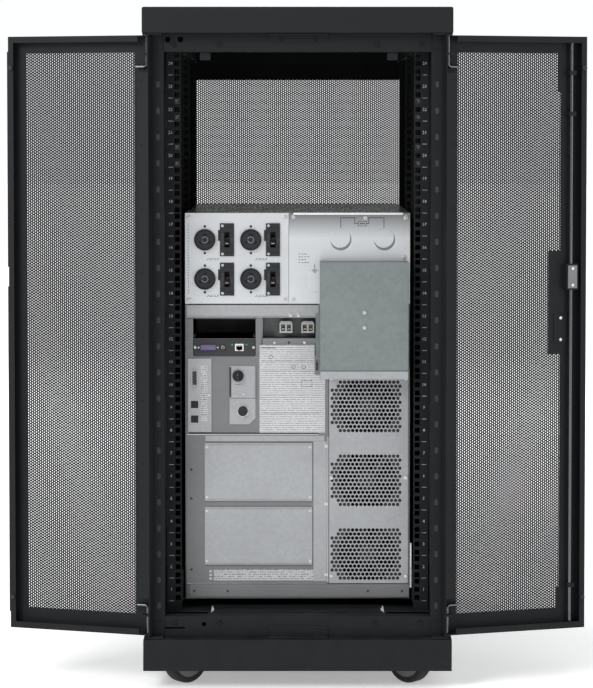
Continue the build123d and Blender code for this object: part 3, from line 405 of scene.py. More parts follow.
def build_groups():
    """The surface effects that several finishes share."""
    groups = {}

    tree, start, end, place = group("orange_peel", {"Scale": 900, "Strength": 1}, ["Height", "Tone"])
    fine = node(tree, "ShaderNodeTexNoise", {"Vector": place, "Scale": start.outputs["Scale"], "Detail": 3,
                                             "Roughness": 0.6}).outputs["Fac"]
    broad = node(tree, "ShaderNodeTexNoise", {"Vector": place, "Scale": 9, "Detail": 4}).outputs["Fac"]
    tree.links.new(math_node(tree, "MULTIPLY", fine, start.outputs["Strength"]), end.inputs["Height"])
    tree.links.new(ramp(tree, broad, 0.3, 0.7), end.inputs["Tone"])
    groups["orange_peel"] = tree

    tree, start, end, place = group("rubbing", {"Scale": 30, "Amount": 0.3}, ["Mask"])
    patches = node(tree, "ShaderNodeTexNoise", {"Vector": place, "Scale": start.outputs["Scale"], "Detail": 6,
                                                "Roughness": 0.7}).outputs["Fac"]
    stretched = node(tree, "ShaderNodeMapping", {"Vector": place, "Scale": (40, 40, 900)}).outputs["Vector"]
    lines = node(tree, "ShaderNodeTexNoise", {"Vector": stretched, "Scale": 1, "Detail": 2}).outputs["Fac"]
    worn = math_node(tree, "MULTIPLY", ramp(tree, patches, 0.52, 0.72), ramp(tree, lines, 0.5, 0.75))
    tree.links.new(math_node(tree, "MULTIPLY", worn, start.outputs["Amount"], True), end.inputs["Mask"])
    groups["rubbing"] = tree

    tree, start, end, place = group("settled_dust", {"Amount": 0.25, "Height": 0.35}, ["Mask"])
    split = node(tree, "ShaderNodeSeparateXYZ", {"Vector": place})
    low = ramp(tree, split.outputs["Z"], start.outputs["Height"], 0.0)
    facing_up = node(tree, "ShaderNodeSeparateXYZ", {
        "Vector": tree.nodes.new("ShaderNodeNewGeometry").outputs["Normal"]}).outputs["Z"]
    flat = ramp(tree, facing_up, 0.3, 1.0)
    cloud = node(tree, "ShaderNodeTexNoise", {"Vector": place, "Scale": 24, "Detail": 6,
                                              "Roughness": 0.65}).outputs["Fac"]
    lying = math_node(tree, "ADD", math_node(tree, "MULTIPLY", low, 0.45),
                      math_node(tree, "MULTIPLY", flat, 0.9))
    lying = math_node(tree, "MULTIPLY", lying, ramp(tree, cloud, 0.35, 0.75))
    tree.links.new(math_node(tree, "MULTIPLY", lying, start.outputs["Amount"], True), end.inputs["Mask"])
    groups["settled_dust"] = tree

    tree, start, end, place = group("spangle", {"Size": 160, "Contrast": 1}, ["Tone", "Roll", "Height"])
    bent = node(tree, "ShaderNodeTexNoise", {"Vector": place, "Scale": 60, "Detail": 2}).outputs["Color"]
    soft = node(tree, "ShaderNodeMix", {"Factor": 0.012, 6: place, 7: bent}, data_type="RGBA").outputs[2]
    cells = node(tree, "ShaderNodeTexVoronoi", {"Vector": soft, "Scale": start.outputs["Size"]})
    grey = node(tree, "ShaderNodeSeparateColor", {"Color": cells.outputs["Color"]}).outputs["Red"]
    tone = math_node(tree, "MULTIPLY", ramp(tree, grey, 0, 1, -0.5, 0.5), start.outputs["Contrast"])
    tree.links.new(tone, end.inputs["Tone"])
    rolled = node(tree, "ShaderNodeMapping", {"Vector": place, "Scale": (14, 14, 1500)}).outputs["Vector"]
    roll = node(tree, "ShaderNodeTexNoise", {"Vector": rolled, "Scale": 1, "Detail": 3}).outputs["Fac"]
    tree.links.new(ramp(tree, roll, 0.3, 0.7, -0.5, 0.5), end.inputs["Roll"])
    tree.links.new(math_node(tree, "ADD", math_node(tree, "MULTIPLY", roll, 0.7),
                             math_node(tree, "MULTIPLY", grey, 0.3)), end.inputs["Height"])
    groups["spangle"] = tree

    tree, start, end, place = group("moulded_texture", {"Scale": 1400}, ["Height", "Tone"])
    grains = node(tree, "ShaderNodeTexVoronoi", {"Vector": place, "Scale": start.outputs["Scale"]},
                  feature="SMOOTH_F1").outputs["Distance"]
    tree.links.new(grains, end.inputs["Height"])
    broad = node(tree, "ShaderNodeTexNoise", {"Vector": place, "Scale": 35, "Detail": 3}).outputs["Fac"]
    tree.links.new(ramp(tree, broad, 0.3, 0.7), end.inputs["Tone"])
    groups["moulded_texture"] = tree

    tree, start, end, place = group("fine_print", {"Line": 320, "Words": 260, "Cover": 0.5}, ["Ink"])
    split = node(tree, "ShaderNodeSeparateXYZ", {"Vector": place})
    along = math_node(tree, "MULTIPLY", split.outputs["X"], start.outputs["Words"])
    rows = math_node(tree, "MULTIPLY", split.outputs["Z"], start.outputs["Line"])
    row = math_node(tree, "FLOOR", rows)
    within = math_node(tree, "FRACT", rows)
    spot = node(tree, "ShaderNodeCombineXYZ", {"X": along, "Y": math_node(tree, "MULTIPLY", row, 7.31)})
    words = node(tree, "ShaderNodeTexNoise", {"Vector": spot.outputs[0], "Scale": 1, "Detail": 3,
                                              "Roughness": 0.8}).outputs["Fac"]
    inked = math_node(tree, "GREATER_THAN", words, math_node(tree, "SUBTRACT", 1.0, start.outputs["Cover"]))
    band = math_node(tree, "MULTIPLY", math_node(tree, "GREATER_THAN", within, 0.3),
                     math_node(tree, "LESS_THAN", within, 0.72))
    tree.links.new(math_node(tree, "MULTIPLY", inked, band), end.inputs["Ink"])
    groups["fine_print"] = tree
    return groups


def use(tree, name, **values):
    """Places a shared group in a material with its own values."""
    placed = tree.nodes.new("ShaderNodeGroup")
    placed.node_tree = bpy.data.node_groups[name]
    for label, value in values.items():
        placed.inputs[label].default_value = value
    return placed.outputs


def blend(tree, amount, first, second):
    return node(tree, "ShaderNodeMix", {"Factor": amount, 6: first, 7: second}, data_type="RGBA").outputs[2]


def connect(tree, surface, colour=None, roughness=None, height=None, depth=0.0001, strength=1.0,
            metallic=None, fixed=None):
    """Feeds the surface shader its changing values, and sets its constant ones."""
    for label, value in (("Base Color", colour), ("Roughness", roughness), ("Metallic", metallic)):
        if isinstance(value, bpy.types.NodeSocket):
            tree.links.new(value, surface.inputs[label])
        elif value is not None:
            surface.inputs[label].default_value = value
    for label, value in (fixed or {}).items():
        surface.inputs[label].default_value = value
    if height is not None:
        bump = node(tree, "ShaderNodeBump", {"Height": height, "Distance": depth, "Strength": strength})
        tree.links.new(bump.outputs["Normal"], surface.inputs["Normal"])


def new_finish(name):
    material = bpy.data.materials.new(name)
    material.use_nodes = True
    return material, material.node_tree, material.node_tree.nodes["Principled BSDF"]


def shade_of(colour, level):
    """A colour made lighter or darker, with no part over 1."""
    return tuple(min(1, part * level) for part in colour[:3]) + (1,)


def coat(name, colour, rough=0.58, peel=900):
    """Powder coat: orange peel, faint rubbing and dust that lies low."""
    settings = bpy.context.scene.rack_finish
    material, tree, surface = new_finish(name)
    peel_out = use(tree, "orange_peel", Scale=peel)
    rubbed = use(tree, "rubbing", Scale=26, Amount=settings.wear)["Mask"]
    dust = use(tree, "settled_dust", Amount=settings.dust)["Mask"]
    lighter = tuple(min(1, c * 1.7 + 0.004) for c in colour[:3]) + (1,)
    tone = blend(tree, peel_out["Tone"], colour, shade_of(colour, 1.22))
    tone = blend(tree, rubbed, tone, lighter)
    tone = blend(tree, dust, tone, (0.07, 0.069, 0.066, 1))
    shine = ramp(tree, peel_out["Tone"], 0, 1, rough - 0.05, rough + 0.06)
    shine = math_node(tree, "ADD", shine, math_node(tree, "MULTIPLY", dust, 0.5), True)
    connect(tree, surface, tone, shine, peel_out["Height"], 0.00006, 0.35, fixed={"Specular IOR Level": 0.2})
    return material


def bare_sheet(name, colour, contrast=0.1, rough=0.4, metallic=0.55, size=150, roll=0.08, painted_reflection_fade=None):
    """Galvanised or plated sheet: spangle, rolling lines, smudges and rubbed patches; with a fade, a painted
    reflection that darkens the colour towards the top.
    """
    settings = bpy.context.scene.rack_finish
    material, tree, surface = new_finish(name)
    flakes = use(tree, "spangle", Size=size, Contrast=1)
    peel_out = use(tree, "orange_peel", Scale=420)
    rubbed = use(tree, "rubbing", Scale=18, Amount=settings.wear)["Mask"]
    grey = math_node(tree, "ADD", math_node(tree, "MULTIPLY", flakes["Tone"], contrast),
                     math_node(tree, "MULTIPLY", flakes["Roll"], roll))
    smudge = ramp(tree, peel_out["Tone"], 0, 1, -0.05, 0.06)
    level = math_node(tree, "ADD", math_node(tree, "ADD", grey, smudge), 0.5, True)
    tone = blend(tree, level, shade_of(colour, 0.62), shade_of(colour, 1.38))
    tone = blend(tree, rubbed, tone, shade_of(colour, 1.25))
    # Painted reflection: the colour darkens towards the top between two heights, standing in for the reflection
    # gradient on the panel.
    if painted_reflection_fade:
        start, end, amount = painted_reflection_fade
        place = tree.nodes.new("ShaderNodeTexCoord").outputs["Object"]
        height = node(tree, "ShaderNodeSeparateXYZ", {"Vector": place}).outputs["Z"]
        tone = blend(tree, ramp(tree, height, start, end, 0.0, amount), tone, shade_of(colour, 0.2))
    shine = ramp(tree, level, 0.3, 0.7, rough + 0.07, rough - 0.05)
    connect(tree, surface, tone, shine, flakes["Height"], 0.00003, 0.5, metallic=metallic)
    return material


def moulded(name, colour, rough=0.5, grain=1500, gloss=0.4, tint=1.25):
    """Moulded plastic with a fine spark-eroded texture."""
    material, tree, surface = new_finish(name)
    texture = use(tree, "moulded_texture", Scale=grain)
    tone = blend(tree, texture["Tone"], colour, shade_of(colour, tint))
    shine = ramp(tree, texture["Tone"], 0, 1, rough - 0.05, rough + 0.08)
    connect(tree, surface, tone, shine, texture["Height"], 0.00005, 0.4, fixed={"Specular IOR Level": gloss})
    return material


def printed(name, paper, ink, line=320, words=260, cover=0.5, rough=0.55):
    """A printed label: rows of fine marks that stand for small type."""
    material, tree, surface = new_finish(name)
    marks = use(tree, "fine_print", Line=line, Words=words, Cover=cover)["Ink"]
    peel_out = use(tree, "orange_peel", Scale=300)
    base = blend(tree, peel_out["Tone"], paper, shade_of(paper, 0.94))
    tone = blend(tree, marks, base, ink)
    shine = ramp(tree, peel_out["Tone"], 0, 1, rough - 0.06, rough + 0.06)
    connect(tree, surface, tone, shine, peel_out["Height"], 0.00003, 0.2)
    return material


def build_finishes():
    """Every material by name."""
    settings = bpy.context.scene.rack_finish
    coat_colour, sheet, plating = (tuple(c) for c in (settings.coat, settings.sheet, settings.plating))
    made = {
        "coat": coat("powder_coat_black", coat_colour),
        "perforated": coat("perforated_coat_black", shade_of(coat_colour, 1.15), 0.5, 700),
        "sheet": bare_sheet("galvanised_sheet", sheet),
        "wall": bare_sheet("shaded_rear_wall", shade_of(sheet, 0.5), 0.05, 0.46, 0.5, 200, 0.1),
        "cover": bare_sheet("dull_zinc_cover", (0.15, 0.172, 0.172, 1), 0.16, 0.5, 0.35, 110, 0.12),
        "cards": bare_sheet("satin_card_face", shade_of(sheet, 1.7), 0.03, 0.34, 0.6, 300, 0.12),
        # Painted reflection: this card face darkens towards the top of the wiring panel, standing in for a
        # reflection gradient.
        "toned": bare_sheet("card_face_painted_reflection", shade_of(sheet, 1.8), 0.03, 0.3, 0.6, 300, 0.12,
                            (UPS_TOP * 0.001 + 0.128, UPS_TOP * 0.001 + 0.172, 0.85)),
        "case": bare_sheet("pale_zinc_case", (0.74, 0.75, 0.76, 1), 0.04, 0.2, 0.9, 200, 0.06),
        "dark_card": coat("dark_card_face", (0.028, 0.03, 0.032, 1), 0.4, 800),
        "dark_metal": bare_sheet("black_zinc_steel", (0.1, 0.102, 0.105, 1), 0.05, 0.2, 0.95, 500, 0.05),
        "zinc": bare_sheet("zinc_plated_steel", plating, 0.06, 0.28, 0.95, 500, 0.06),
        "black_plastic": moulded("moulded_black", (0.01, 0.0105, 0.0115, 1), gloss=0.3),
        "grey_plastic": moulded("moulded_grey", (0.11, 0.113, 0.117, 1), 0.48),
        "mid_plastic": moulded("moulded_mid_grey", (0.26, 0.265, 0.27, 1), 0.46),
        "light_plastic": moulded("moulded_light_grey", (0.56, 0.565, 0.56, 1), 0.45, tint=1.08),
        "violet_plastic": moulded("moulded_violet", (0.1, 0.075, 0.16, 1), 0.42),
        "tyre": moulded("tyre_rubber", (0.022, 0.022, 0.023, 1), 0.72, 700, 0.25),
        "contact": bare_sheet("plated_contact", (0.72, 0.6, 0.34, 1), 0.03, 0.25, 1.0, 600, 0.03),
        "label": printed("white_label", (0.47, 0.475, 0.48, 1), (0.22, 0.22, 0.23, 1), 236, 520, 0.55),
        "legend": printed("silver_legend", (0.42, 0.43, 0.44, 1), (0.1, 0.1, 0.1, 1), 236, 420, 0.5),
        "ink": moulded("black_ink", (0.02, 0.02, 0.022, 1), 0.6, 600),
        "paint": moulded("white_marking_paint", (0.4, 0.405, 0.405, 1), 0.55, 600, tint=1.1),
        "screen": moulded("dark_screen", (0.012, 0.022, 0.016, 1), 0.14, 300, 0.6),
        "lamp_green": moulded("green_lens", (0.03, 0.3, 0.06, 1), 0.25, 300, 0.6),
        "lamp_amber": moulded("amber_lens", (0.5, 0.2, 0.02, 1), 0.25, 300, 0.6),
    }
    return made


# ---------------------------------------------------------------- places on the rear of the power equipment
CARD_X = (-203.5, -81.6)
CARD_Z = (UPS_TOP - 102.3, UPS_TOP - 67.5)
SLOT_TOP = UPS_TOP - 29.2
RECESS_X = (-68.0, 35.7)
RECESS_Z = (UPS_TOP - 67.3, UPS_TOP - 25.0)
COMMS_X = (-214.0, -167.6)
COMMS_Z = (UPS_BOTTOM + 327.6, UPS_BOTTOM + 471.3)
COVER_X = (-181.6, 29.1)
COVER_HEIGHTS = ((UPS_BOTTOM + 66.1, UPS_BOTTOM + 180.6), (UPS_BOTTOM + 191.5, UPS_BOTTOM + 306.0))
SERVICE_X = (-132.6, -82.0)
SERVICE_SPLIT = UPS_BOTTOM + 393.5
BYPASS = axis_of("bypass_knob_turn")
FAN_CENTRES = [axis_of(f"fan_{number}_spin") for number in (1, 2, 3)]
SOCKETS = [(x, UPS_TOP + rise) for x in (-180.3, -90.8) for rise in (48.8, 125.1)]
BREAKERS = [(x, UPS_TOP + rise) for x in (-137.2, -47.8) for rise in (48.4, 125.1)]
KNOCKOUTS = ((84.2, UPS_TOP + 125.1), (169.1, UPS_TOP + 125.1), (37.5, UPS_TOP + 44.6))
WIRING_X = (43.4, 214.0)
WIRING_Z = (UPS_TOP - 129.5, UPS_TOP + 84.3)
WIRING_Y = span("wiring_cover")[0].y
FINISH = {}


def decal(low_x, high_x, low_z, high_z, face_y, thick=0.2):
    """A thin plate on a rear-facing surface."""
    return plate((low_x, face_y - thick, low_z), (high_x, face_y, high_z))


def line(points, face_y, width=0.7, thick=0.12):
    """Printed line work: thin strips along X and Z through the points."""
    strips = []
    for (x1, z1), (x2, z2) in zip(points, points[1:]):
        half = width / 2
        low = (min(x1, x2) - half, face_y - thick, min(z1, z2) - half)
        strips.append(plate(low, (max(x1, x2) + half, face_y, max(z1, z2) + half)))
    return strips


def numeral(text, size, x, z, face_y):
    """Painted figures that face the rear."""
    bpy.ops.object.select_all(action="DESELECT")
    bpy.ops.object.text_add(location=mm(x, face_y, z), rotation=(math.pi / 2, 0, 0))
    written = bpy.context.active_object
    written.data.body = text
    written.data.size = size * 0.001
    written.data.resolution_u = 1
    written.data.extrude = 0.00008
    written.data.align_x = written.data.align_y = "CENTER"
    bpy.ops.object.convert(target="MESH")
    return settle(bpy.context.active_object)


def cross_screw(radius=4.0, proud=2.4):
    """A pan-head screw at the origin that faces the rear, with a cross recess."""
    head = rod((0, 0, 0), (0, -proud, 0), radius, 16)
    round_edges(head, proud * 0.45, 2, 60)
    arm, width = radius * 0.55, radius * 0.16
    bars = [plate((-arm, -proud - 1, -width), (arm, -proud * 0.45, width)),
            plate((-width, -proud - 1, -arm), (width, -proud * 0.45, arm))]
    for bar in bars:
        cut(head, bar)
    return head


def hex_nut(radius=5.0, height=3.2):
    """A hexagon nut at the origin that faces the rear, chamfered, on a washer."""
    nut = rod((0, 0, 0), (0, -height, 0), radius, 6)
    inset(nut, REAR, radius * 0.14, radius * 0.07)
    inset(nut, REAR, radius * 0.3, -height * 0.4)
    return join([nut, rod((0, 0.4, 0), (0, -0.6, 0), radius * 1.25, 20)])


def build_perforated(width, height, pitch, web, thick):
    """A perforated sheet in X and Z from the origin: a honeycomb whose edges are bevelled into webs."""
    pitch_x, pitch_z = pitch
    reach = pitch_x / 3
    bpy.ops.object.select_all(action="DESELECT")
    bpy.ops.mesh.primitive_circle_add(vertices=6, radius=reach, fill_type="NGON", location=(0, 0, 0))
    tile = bpy.context.active_object
    pointed = max(abs(corner.co.x) for corner in tile.data.vertices) > 0.99 * reach
    tile.rotation_euler = (0, 0, 0 if pointed else math.pi / 2)
    settle(tile)
    tile.scale = (1, pitch_z / 2 / (reach * math.sin(math.pi / 3)), 1)
    settle(tile)
    second = twin(tile, (pitch_x * 500, pitch_z * 500, 0))
    tile = join([tile, second])
    move(tile, Matrix.Translation((-pitch_x, -pitch_z, 0)))
    for axis, length, step in ((0, width, pitch_x), (1, height, pitch_z)):
        offset = [0, 0, 0]
        offset[axis] = step
        apply(tile, "ARRAY", count=int(length / step) + 4, use_relative_offset=False,
              use_constant_offset=True, constant_offset_displace=offset, use_merge_vertices=True,
              merge_threshold=1e-5)
    shape(tile, lambda part: True, bpy.ops.mesh.remove_doubles, kind="VERT", threshold=1e-5)
    shape(tile, lambda part: True, bpy.ops.mesh.bevel, kind="EDGE", offset=web / 2, segments=1,
          affect="EDGES")
    shape(tile, lambda face: len(face.verts) > 4, bpy.ops.mesh.delete, type="FACE")
    for place, way in (((0, 0, 0), (-1, 0, 0)), ((width, 0, 0), (1, 0, 0)),
                       ((0, 0, 0), (0, -1, 0)), ((0, height, 0), (0, 1, 0))):
        trim(tile, place, way)
    apply(tile, "SOLIDIFY", thickness=thick, offset=0)
    return move(tile, Matrix.Rotation(math.pi / 2, 4, "X"))


def trim(piece, place, way):
    """Removes what lies beyond a plane."""
    return shape(piece, lambda face: True, bpy.ops.mesh.bisect, plane_co=place, plane_no=way,
                 clear_outer=True, clear_inner=False, threshold=1e-7)


def close_webs(sheet):
    """Fills the cut ends of a perforated sheet's webs."""
    return shape(sheet, lambda edge: edge.is_boundary, bpy.ops.mesh.fill_holes, kind="EDGE", sides=0)


# ---------------------------------------------------------------- operators
class RACK_OT_finishes(bpy.types.Operator):
    """Makes the shared shader groups and every material"""
    bl_idname = "rack.finishes"
    bl_label = "Finishes"

    def execute(self, context):
        build_groups()
        FINISH.update(build_finishes())
        return {"FINISHED"}


class RACK_OT_stage(bpy.types.Operator):
    """Makes the floor, the studio lamps and the camera"""
    bl_idname = "rack.stage"
    bl_label = "Stage"

    def execute(self, context):
        settings = context.scene.rack_stage
        material, tree, surface = new_finish("studio_paper")
        fleck = use(tree, "orange_peel", Scale=120)
        pale = tuple(settings.floor)
        place = tree.nodes.new("ShaderNodeTexCoord").outputs["Object"]
        away = node(tree, "ShaderNodeVectorMath", {0: place}, operation="LENGTH").outputs["Value"]
        glow = blend(tree, ramp(tree, away, 1.4, 6.0), (0.36, 0.36, 0.36, 1), (0.75, 0.75, 0.75, 1))
        connect(tree, surface, blend(tree, fleck["Tone"], pale, shade_of(pale, 0.985)), 0.75,
                fleck["Height"], 0.0002, 0.1, fixed={"Emission Strength": 1.0})
        tree.links.new(glow, surface.inputs["Emission Color"])
        bpy.ops.object.select_all(action="DESELECT")
        bpy.ops.mesh.primitive_circle_add(vertices=96, radius=45, fill_type="NGON")
        floor = bpy.context.active_object
        shape(floor, lambda face: True, bpy.ops.mesh.inset, thickness=39.0, depth=0.0)
        floor.name = "studio_floor"
        floor.data.materials.append(material)
        floor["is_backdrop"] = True
        world = bpy.data.worlds.new("studio_air")
        world.use_nodes = True
        air = world.node_tree
        seen = air.nodes.new("ShaderNodeLightPath").outputs["Is Camera Ray"]
        background = air.nodes["Background"]
        background.inputs["Color"].default_value = (0.97, 0.985, 1.0, 1)
        air.links.new(ramp(air, seen, 0.0, 1.0, 0.42, 1.02), background.inputs["Strength"])
        context.scene.world = world
        lamps = (("key", (-3.0, -4.4, 3.2), 2.0, 190), ("fill", (3.6, -4.2, 1.6), 2.4, 45),
                 ("above", (0.0, -1.6, 4.2), 2.6, 60), ("front_left", (-3.4, 4.2, 2.8), 2.8, 130),
                 ("front_right", (3.4, 4.2, 2.2), 2.8, 100))
        for name, place, size, power in lamps:
            bpy.ops.object.select_all(action="DESELECT")
            turn = (Vector((0, 0, 0.7)) - Vector(place)).to_track_quat("-Z", "Y").to_euler()
            bpy.ops.object.light_add(type="AREA", location=place, rotation=turn)
            lamp = bpy.context.active_object
            lamp.name = "lamp_" + name
            lamp.data.size = size
            lamp.data.energy = power * settings.light
        bpy.ops.object.select_all(action="DESELECT")
        turn = (math.pi / 2 - settings.pitch, 0, 0)
        bpy.ops.object.camera_add(location=settings.camera_place, rotation=turn)
        camera = bpy.context.active_object
        camera.name = "studio_camera"
        camera.data.lens = settings.lens
        camera.data.sensor_width = 36
        camera.data.shift_x, camera.data.shift_y = settings.shift
        camera.data.dof.use_dof = False
        camera.data.clip_end = 60
        context.scene.camera = camera
        context.scene.view_settings.view_transform = "Standard"
        return {"FINISHED"}


class RACK_OT_enclosure(bpy.types.Operator):
    """Makes the frame, roof cap, plinth, side panels and floor"""
    bl_idname = "rack.enclosure"
    bl_label = "Enclosure"

    def execute(self, context):
        for name in ("corner_posts", "frame_beams", "rear_header", "rear_sill", "floor_panel",
                     "support_rails", "hinge_brackets", "plinth_skirt"):
            folded(name, "cabinet", "coat")
        folded("lock_strikes", "cabinet", "coat", 0.3)
        self.roof(context)
        self.floor_brushes()
        self.side_panels()
        self.frame_holes()
        self.bolts()
        return {"FINISHED"}

    def roof(self, context):
        """The roof cap with four sunk lifting plugs."""
        cap = welded("roof_cap")
        low, high = span("roof_cap")
        spots = [(x, y) for x in (low.x + 60, high.x - 60) for y in (low.y + 70, high.y - 70)]
        cut(cap, *[rod((x, y, high.z - 0.9), (x, y, high.z + 2), 11, 32) for x, y in spots])
        round_edges(cap, 0.7, 2, 50)
        give(cap, "roof_cap_tray", "cabinet", "coat", ("roof_cap",))
        plugs = []
        for x, y in spots:
            plug = rod((x, y, high.z - 1.0), (x, y, high.z - 0.2), 10.4, 32, 0.3)
            inset(plug, (0, 0, 1), 4.5, -0.5)
            plugs.append(plug)
        give(join(plugs), "roof_lifting_plugs", "cabinet", "black_plastic")

    def floor_brushes(self):
        """Two rows of bristles across the cable slot in the floor, each in its holder."""
        top = span("floor_panel")[1].z - 0.2
        holders, bristles = [], []
        for side in (-1, 1):
            y = -435.0 + side * 35.2
            holders.append(plate((-166, y - 2.4, top - 4.5), (166, y + 2.4, top + 1.6), 0.4))
            bristle = plate((-0.8, min(0, -side * 36), -0.5), (0.8, max(0, -side * 36), 0.5))
            tip = lambda corner: abs(corner.co.y) > 0.03
            shape(bristle, tip, bpy.ops.transform.resize, kind="VERT", value=(0.4, 1, 0.4))
            bristles += repeat(bristle, [(-163 + 1.9 * n, y, top - 1.5 + 0.5 * (n % 3)) for n in range(172)])
        holders.append(plate((-163, -470, top - 3.4), (163, -400, top - 2.6), 0.2))
        give(join(holders), "floor_brush_holders", "cabinet", "coat")
        give(join(bristles), "floor_brush_bristles", "cabinet", "tyre")

    def side_panels(self):
        """The side pans with pressed ribs and quarter-turn fasteners."""
        low, high = span("side_panels")
        panel = welded("side_panels")
        grooves = []
        for side in (-1, 1):
            face = side * high.x
            for part in (0.34, 0.67):
                z = low.z + (high.z - low.z) * part
                inner, outer = sorted((face - side * 0.7, face + side * 2))
                grooves.append(plate((inner, low.y + 40, z - 2), (outer, high.y - 40, z + 2)))
        cut(panel, *grooves)
        round_edges(panel, 0.6, 2, 50)
        give(panel, "side_panel_pans", "cabinet", "coat", ("side_panels",))
        turns = []
        for side in (-1, 1):
            for y in (low.y + 60, high.y - 60):
                for z in (low.z + 60, high.z - 60):
                    seat = rod((side * high.x, y, z), (side * (high.x + 1.6), y, z), 11, 32, 0.5)
                    inset(seat, (side, 0, 0), 2.5, -0.8)
                    cut(seat, plate((side * high.x - 3, y - 5, z - 1), (side * high.x + 3, y + 5, z + 1)))
                    turns.append(seat)
        give(join(turns), "side_panel_fasteners", "cabinet", "zinc")

    def frame_holes(self):
        """Slots down the rear faces of the rear posts, shown as dark plates."""
        low, high = span("corner_posts")
        rear = span("rear_header")[0].y
        slot = plate((-3.4, -0.12, -6), (3.4, 0, 6))
        round_corners(slot, 3.0, 4)
        steps = []
        z = low.z + 60
        while z < high.z - 60:
            steps += [(side * (high.x - 11), rear, z) for side in (-1, 1)]
            z += 50
        give(join(repeat(slot, steps)), "post_slots", "cabinet", "ink")

    def bolts(self):
        """Frame bolts at the header and the sill."""
        header_low, header_high = span("rear_header")
        nut = hex_nut(4.6, 3)
        steps = []
        for z in (header_high.z - 22, span("rear_sill")[1].z - 12):
            steps += [(x, header_low.y, z) for x in (-236, -150, 150, 236)]
        steps += [(x, header_low.y, header_high.z - 12) for x in (-30, 34)]
        give(join(repeat(nut, steps)), "frame_bolts", "cabinet", "coat")


class RACK_OT_rails(bpy.types.Operator):
    """Makes the mounting rails with unit marks, figures and cage nuts"""
    bl_idname = "rack.rails"
    bl_label = "Mounting rails"

    def execute(self, context):
        folded("mounting_rails", "cabinet", "coat", 0.25, 1)
        low, high = span("mounting_rails")
        rear = low.y
        count = round((high.z - UPS_BOTTOM) / UNIT)
        marks = []
        for number in range(1, count + 1):
            z = UPS_BOTTOM + (number - 0.5) * UNIT
            if z + UNIT / 2 < high.z:
                marks.append(numeral(str(number), 8.5, 245.5, z, rear))
            marks.append(plate((241.5, rear - 0.12, z - UNIT / 2 - 0.35), (250.5, rear, z - UNIT / 2 + 0.35)))
        right = join(marks)
        shape(right, lambda part: True, bpy.ops.mesh.remove_doubles, kind="VERT", threshold=1e-7)
        left = twin(right, (-491, 0, 0))
        turn = Matrix.Rotation(math.pi, 4, "Z")
        fronts = [twin(piece, (0, MODULE_FACE + rear, 0), turn) for piece in (right, left)]
        give(join([right, left, *fronts]), "rail_unit_figures", "cabinet", "paint")
        cage = plate((-6.2, 0, -5.6), (6.2, 1.2, 5.6), 0.4)
        core = plate((-4.5, -2.0, -4.5), (4.5, 0.6, 4.5), 0.3)
        inset(core, REAR, 1.9, -1.6)
        nut = join([cage, core])
        steps = []
        for side in (-1, 1):
            for unit in (20, 22):
                for row in (-1, 1):
                    z = UPS_BOTTOM + (unit - 0.5) * UNIT + row * UNIT_HOLE
                    steps.append((side * HOLE_COLUMN, rear + 2.0, z))
        give(join(repeat(nut, steps)), "cage_nuts", "cabinet", "dark_metal")
        return {"FINISHED"}


class RACK_OT_rear_doors(bpy.types.Operator):
    """Makes the two rear door pans, their perforated sheets, rivets and buffers"""
    bl_idname = "rack.rear_doors"
    bl_label = "Rear doors"

    def execute(self, context):
        settings = context.scene.rack_sheet
        folded("left_rear_door", "left_door", "coat")
        folded("door_astragal", "left_door", "coat", 0.3)
        folded("right_rear_door", "right_door", "coat")
        bottom, top = DOOR_LOW + 37.6, DOOR_HIGH - 31.8
        width_left, width_right = 223.5, 213.2
        pitch = tuple(settings.rear_pitch)
        rows = int((top - bottom) / 2000 / pitch[1])
        lower_height = rows * pitch[1]
        upper_height = (top - bottom) * 0.001 - lower_height
        whole = build_perforated(width_left * 0.001, max(lower_height, upper_height), pitch, settings.web,
                                 0.0015)
        for side, start, width in ((-1, 28.0, width_left), (1, 21.6, width_right)):
            body = "left_door" if side < 0 else "right_door"
            for half, height, rise in (("lower", lower_height, 0), ("upper", upper_height, lower_height)):
                part = twin(whole)
                trim(part, (width * 0.001, 0, 0), (1, 0, 0))
                trim(part, (0, 0, height), (0, 0, 1))
                close_webs(part)
                flip = Matrix.Rotation(math.pi, 4, "Z") if side > 0 else Matrix.Identity(4)
                corner = mm(-side * start, -7.25, bottom + rise * 1000)
                part.data.transform(door_matrix(side) @ Matrix.Translation(corner) @ flip)
                give(part, f"{body}_sheet_{half}", body, "perforated",
                     (body + "_sheet",), 25)
            self.rivets(side, body)
        bpy.data.objects.remove(whole)
        zones = ((-210.0, 637.0, 837.0), (-228.0, top - 74.0, top + 0.5),
                 (-228.0, bottom - 0.5, bottom + 40.0))
        blanks = [plate((-236.5, -8.05, z1), (x, -6.35, z2), 0.3) for x, z1, z2 in zones]
        give(hang(join(blanks), 1), "right_door_unpunched_zones", "right_door", "coat")
        return {"FINISHED"}

    def rivets(self, side, body):
        """Rivets along the hinged edge, and a buffer at each free corner."""
        head = rod((0, 0, 0), (0, 0.9, 0), 2.6, 12)
        shape(head, outermost(head, FRONT), bpy.ops.mesh.inset, thickness=0.0011, depth=0.0006)
        step = (DOOR_HIGH - DOOR_LOW - 170) / 8
        spots = [(-side * 7.5, 14.0, DOOR_LOW + 85 + number * step) for number in range(9)]
        give(hang(join(repeat(head, spots)), side), f"{body}_rivets", body, "coat")
        buffer = rod((0, 14, 0), (0, 18.5, 0), 4.5, 20, 0.8)
        inset(buffer, FRONT, 1.6, -0.8)
        buffers = join(repeat(buffer, [(-side * 274.5, 0, z) for z in (DOOR_LOW + 60, DOOR_HIGH - 60)]))
        give(hang(buffers, side), f"{body}_buffers", body, "tyre")


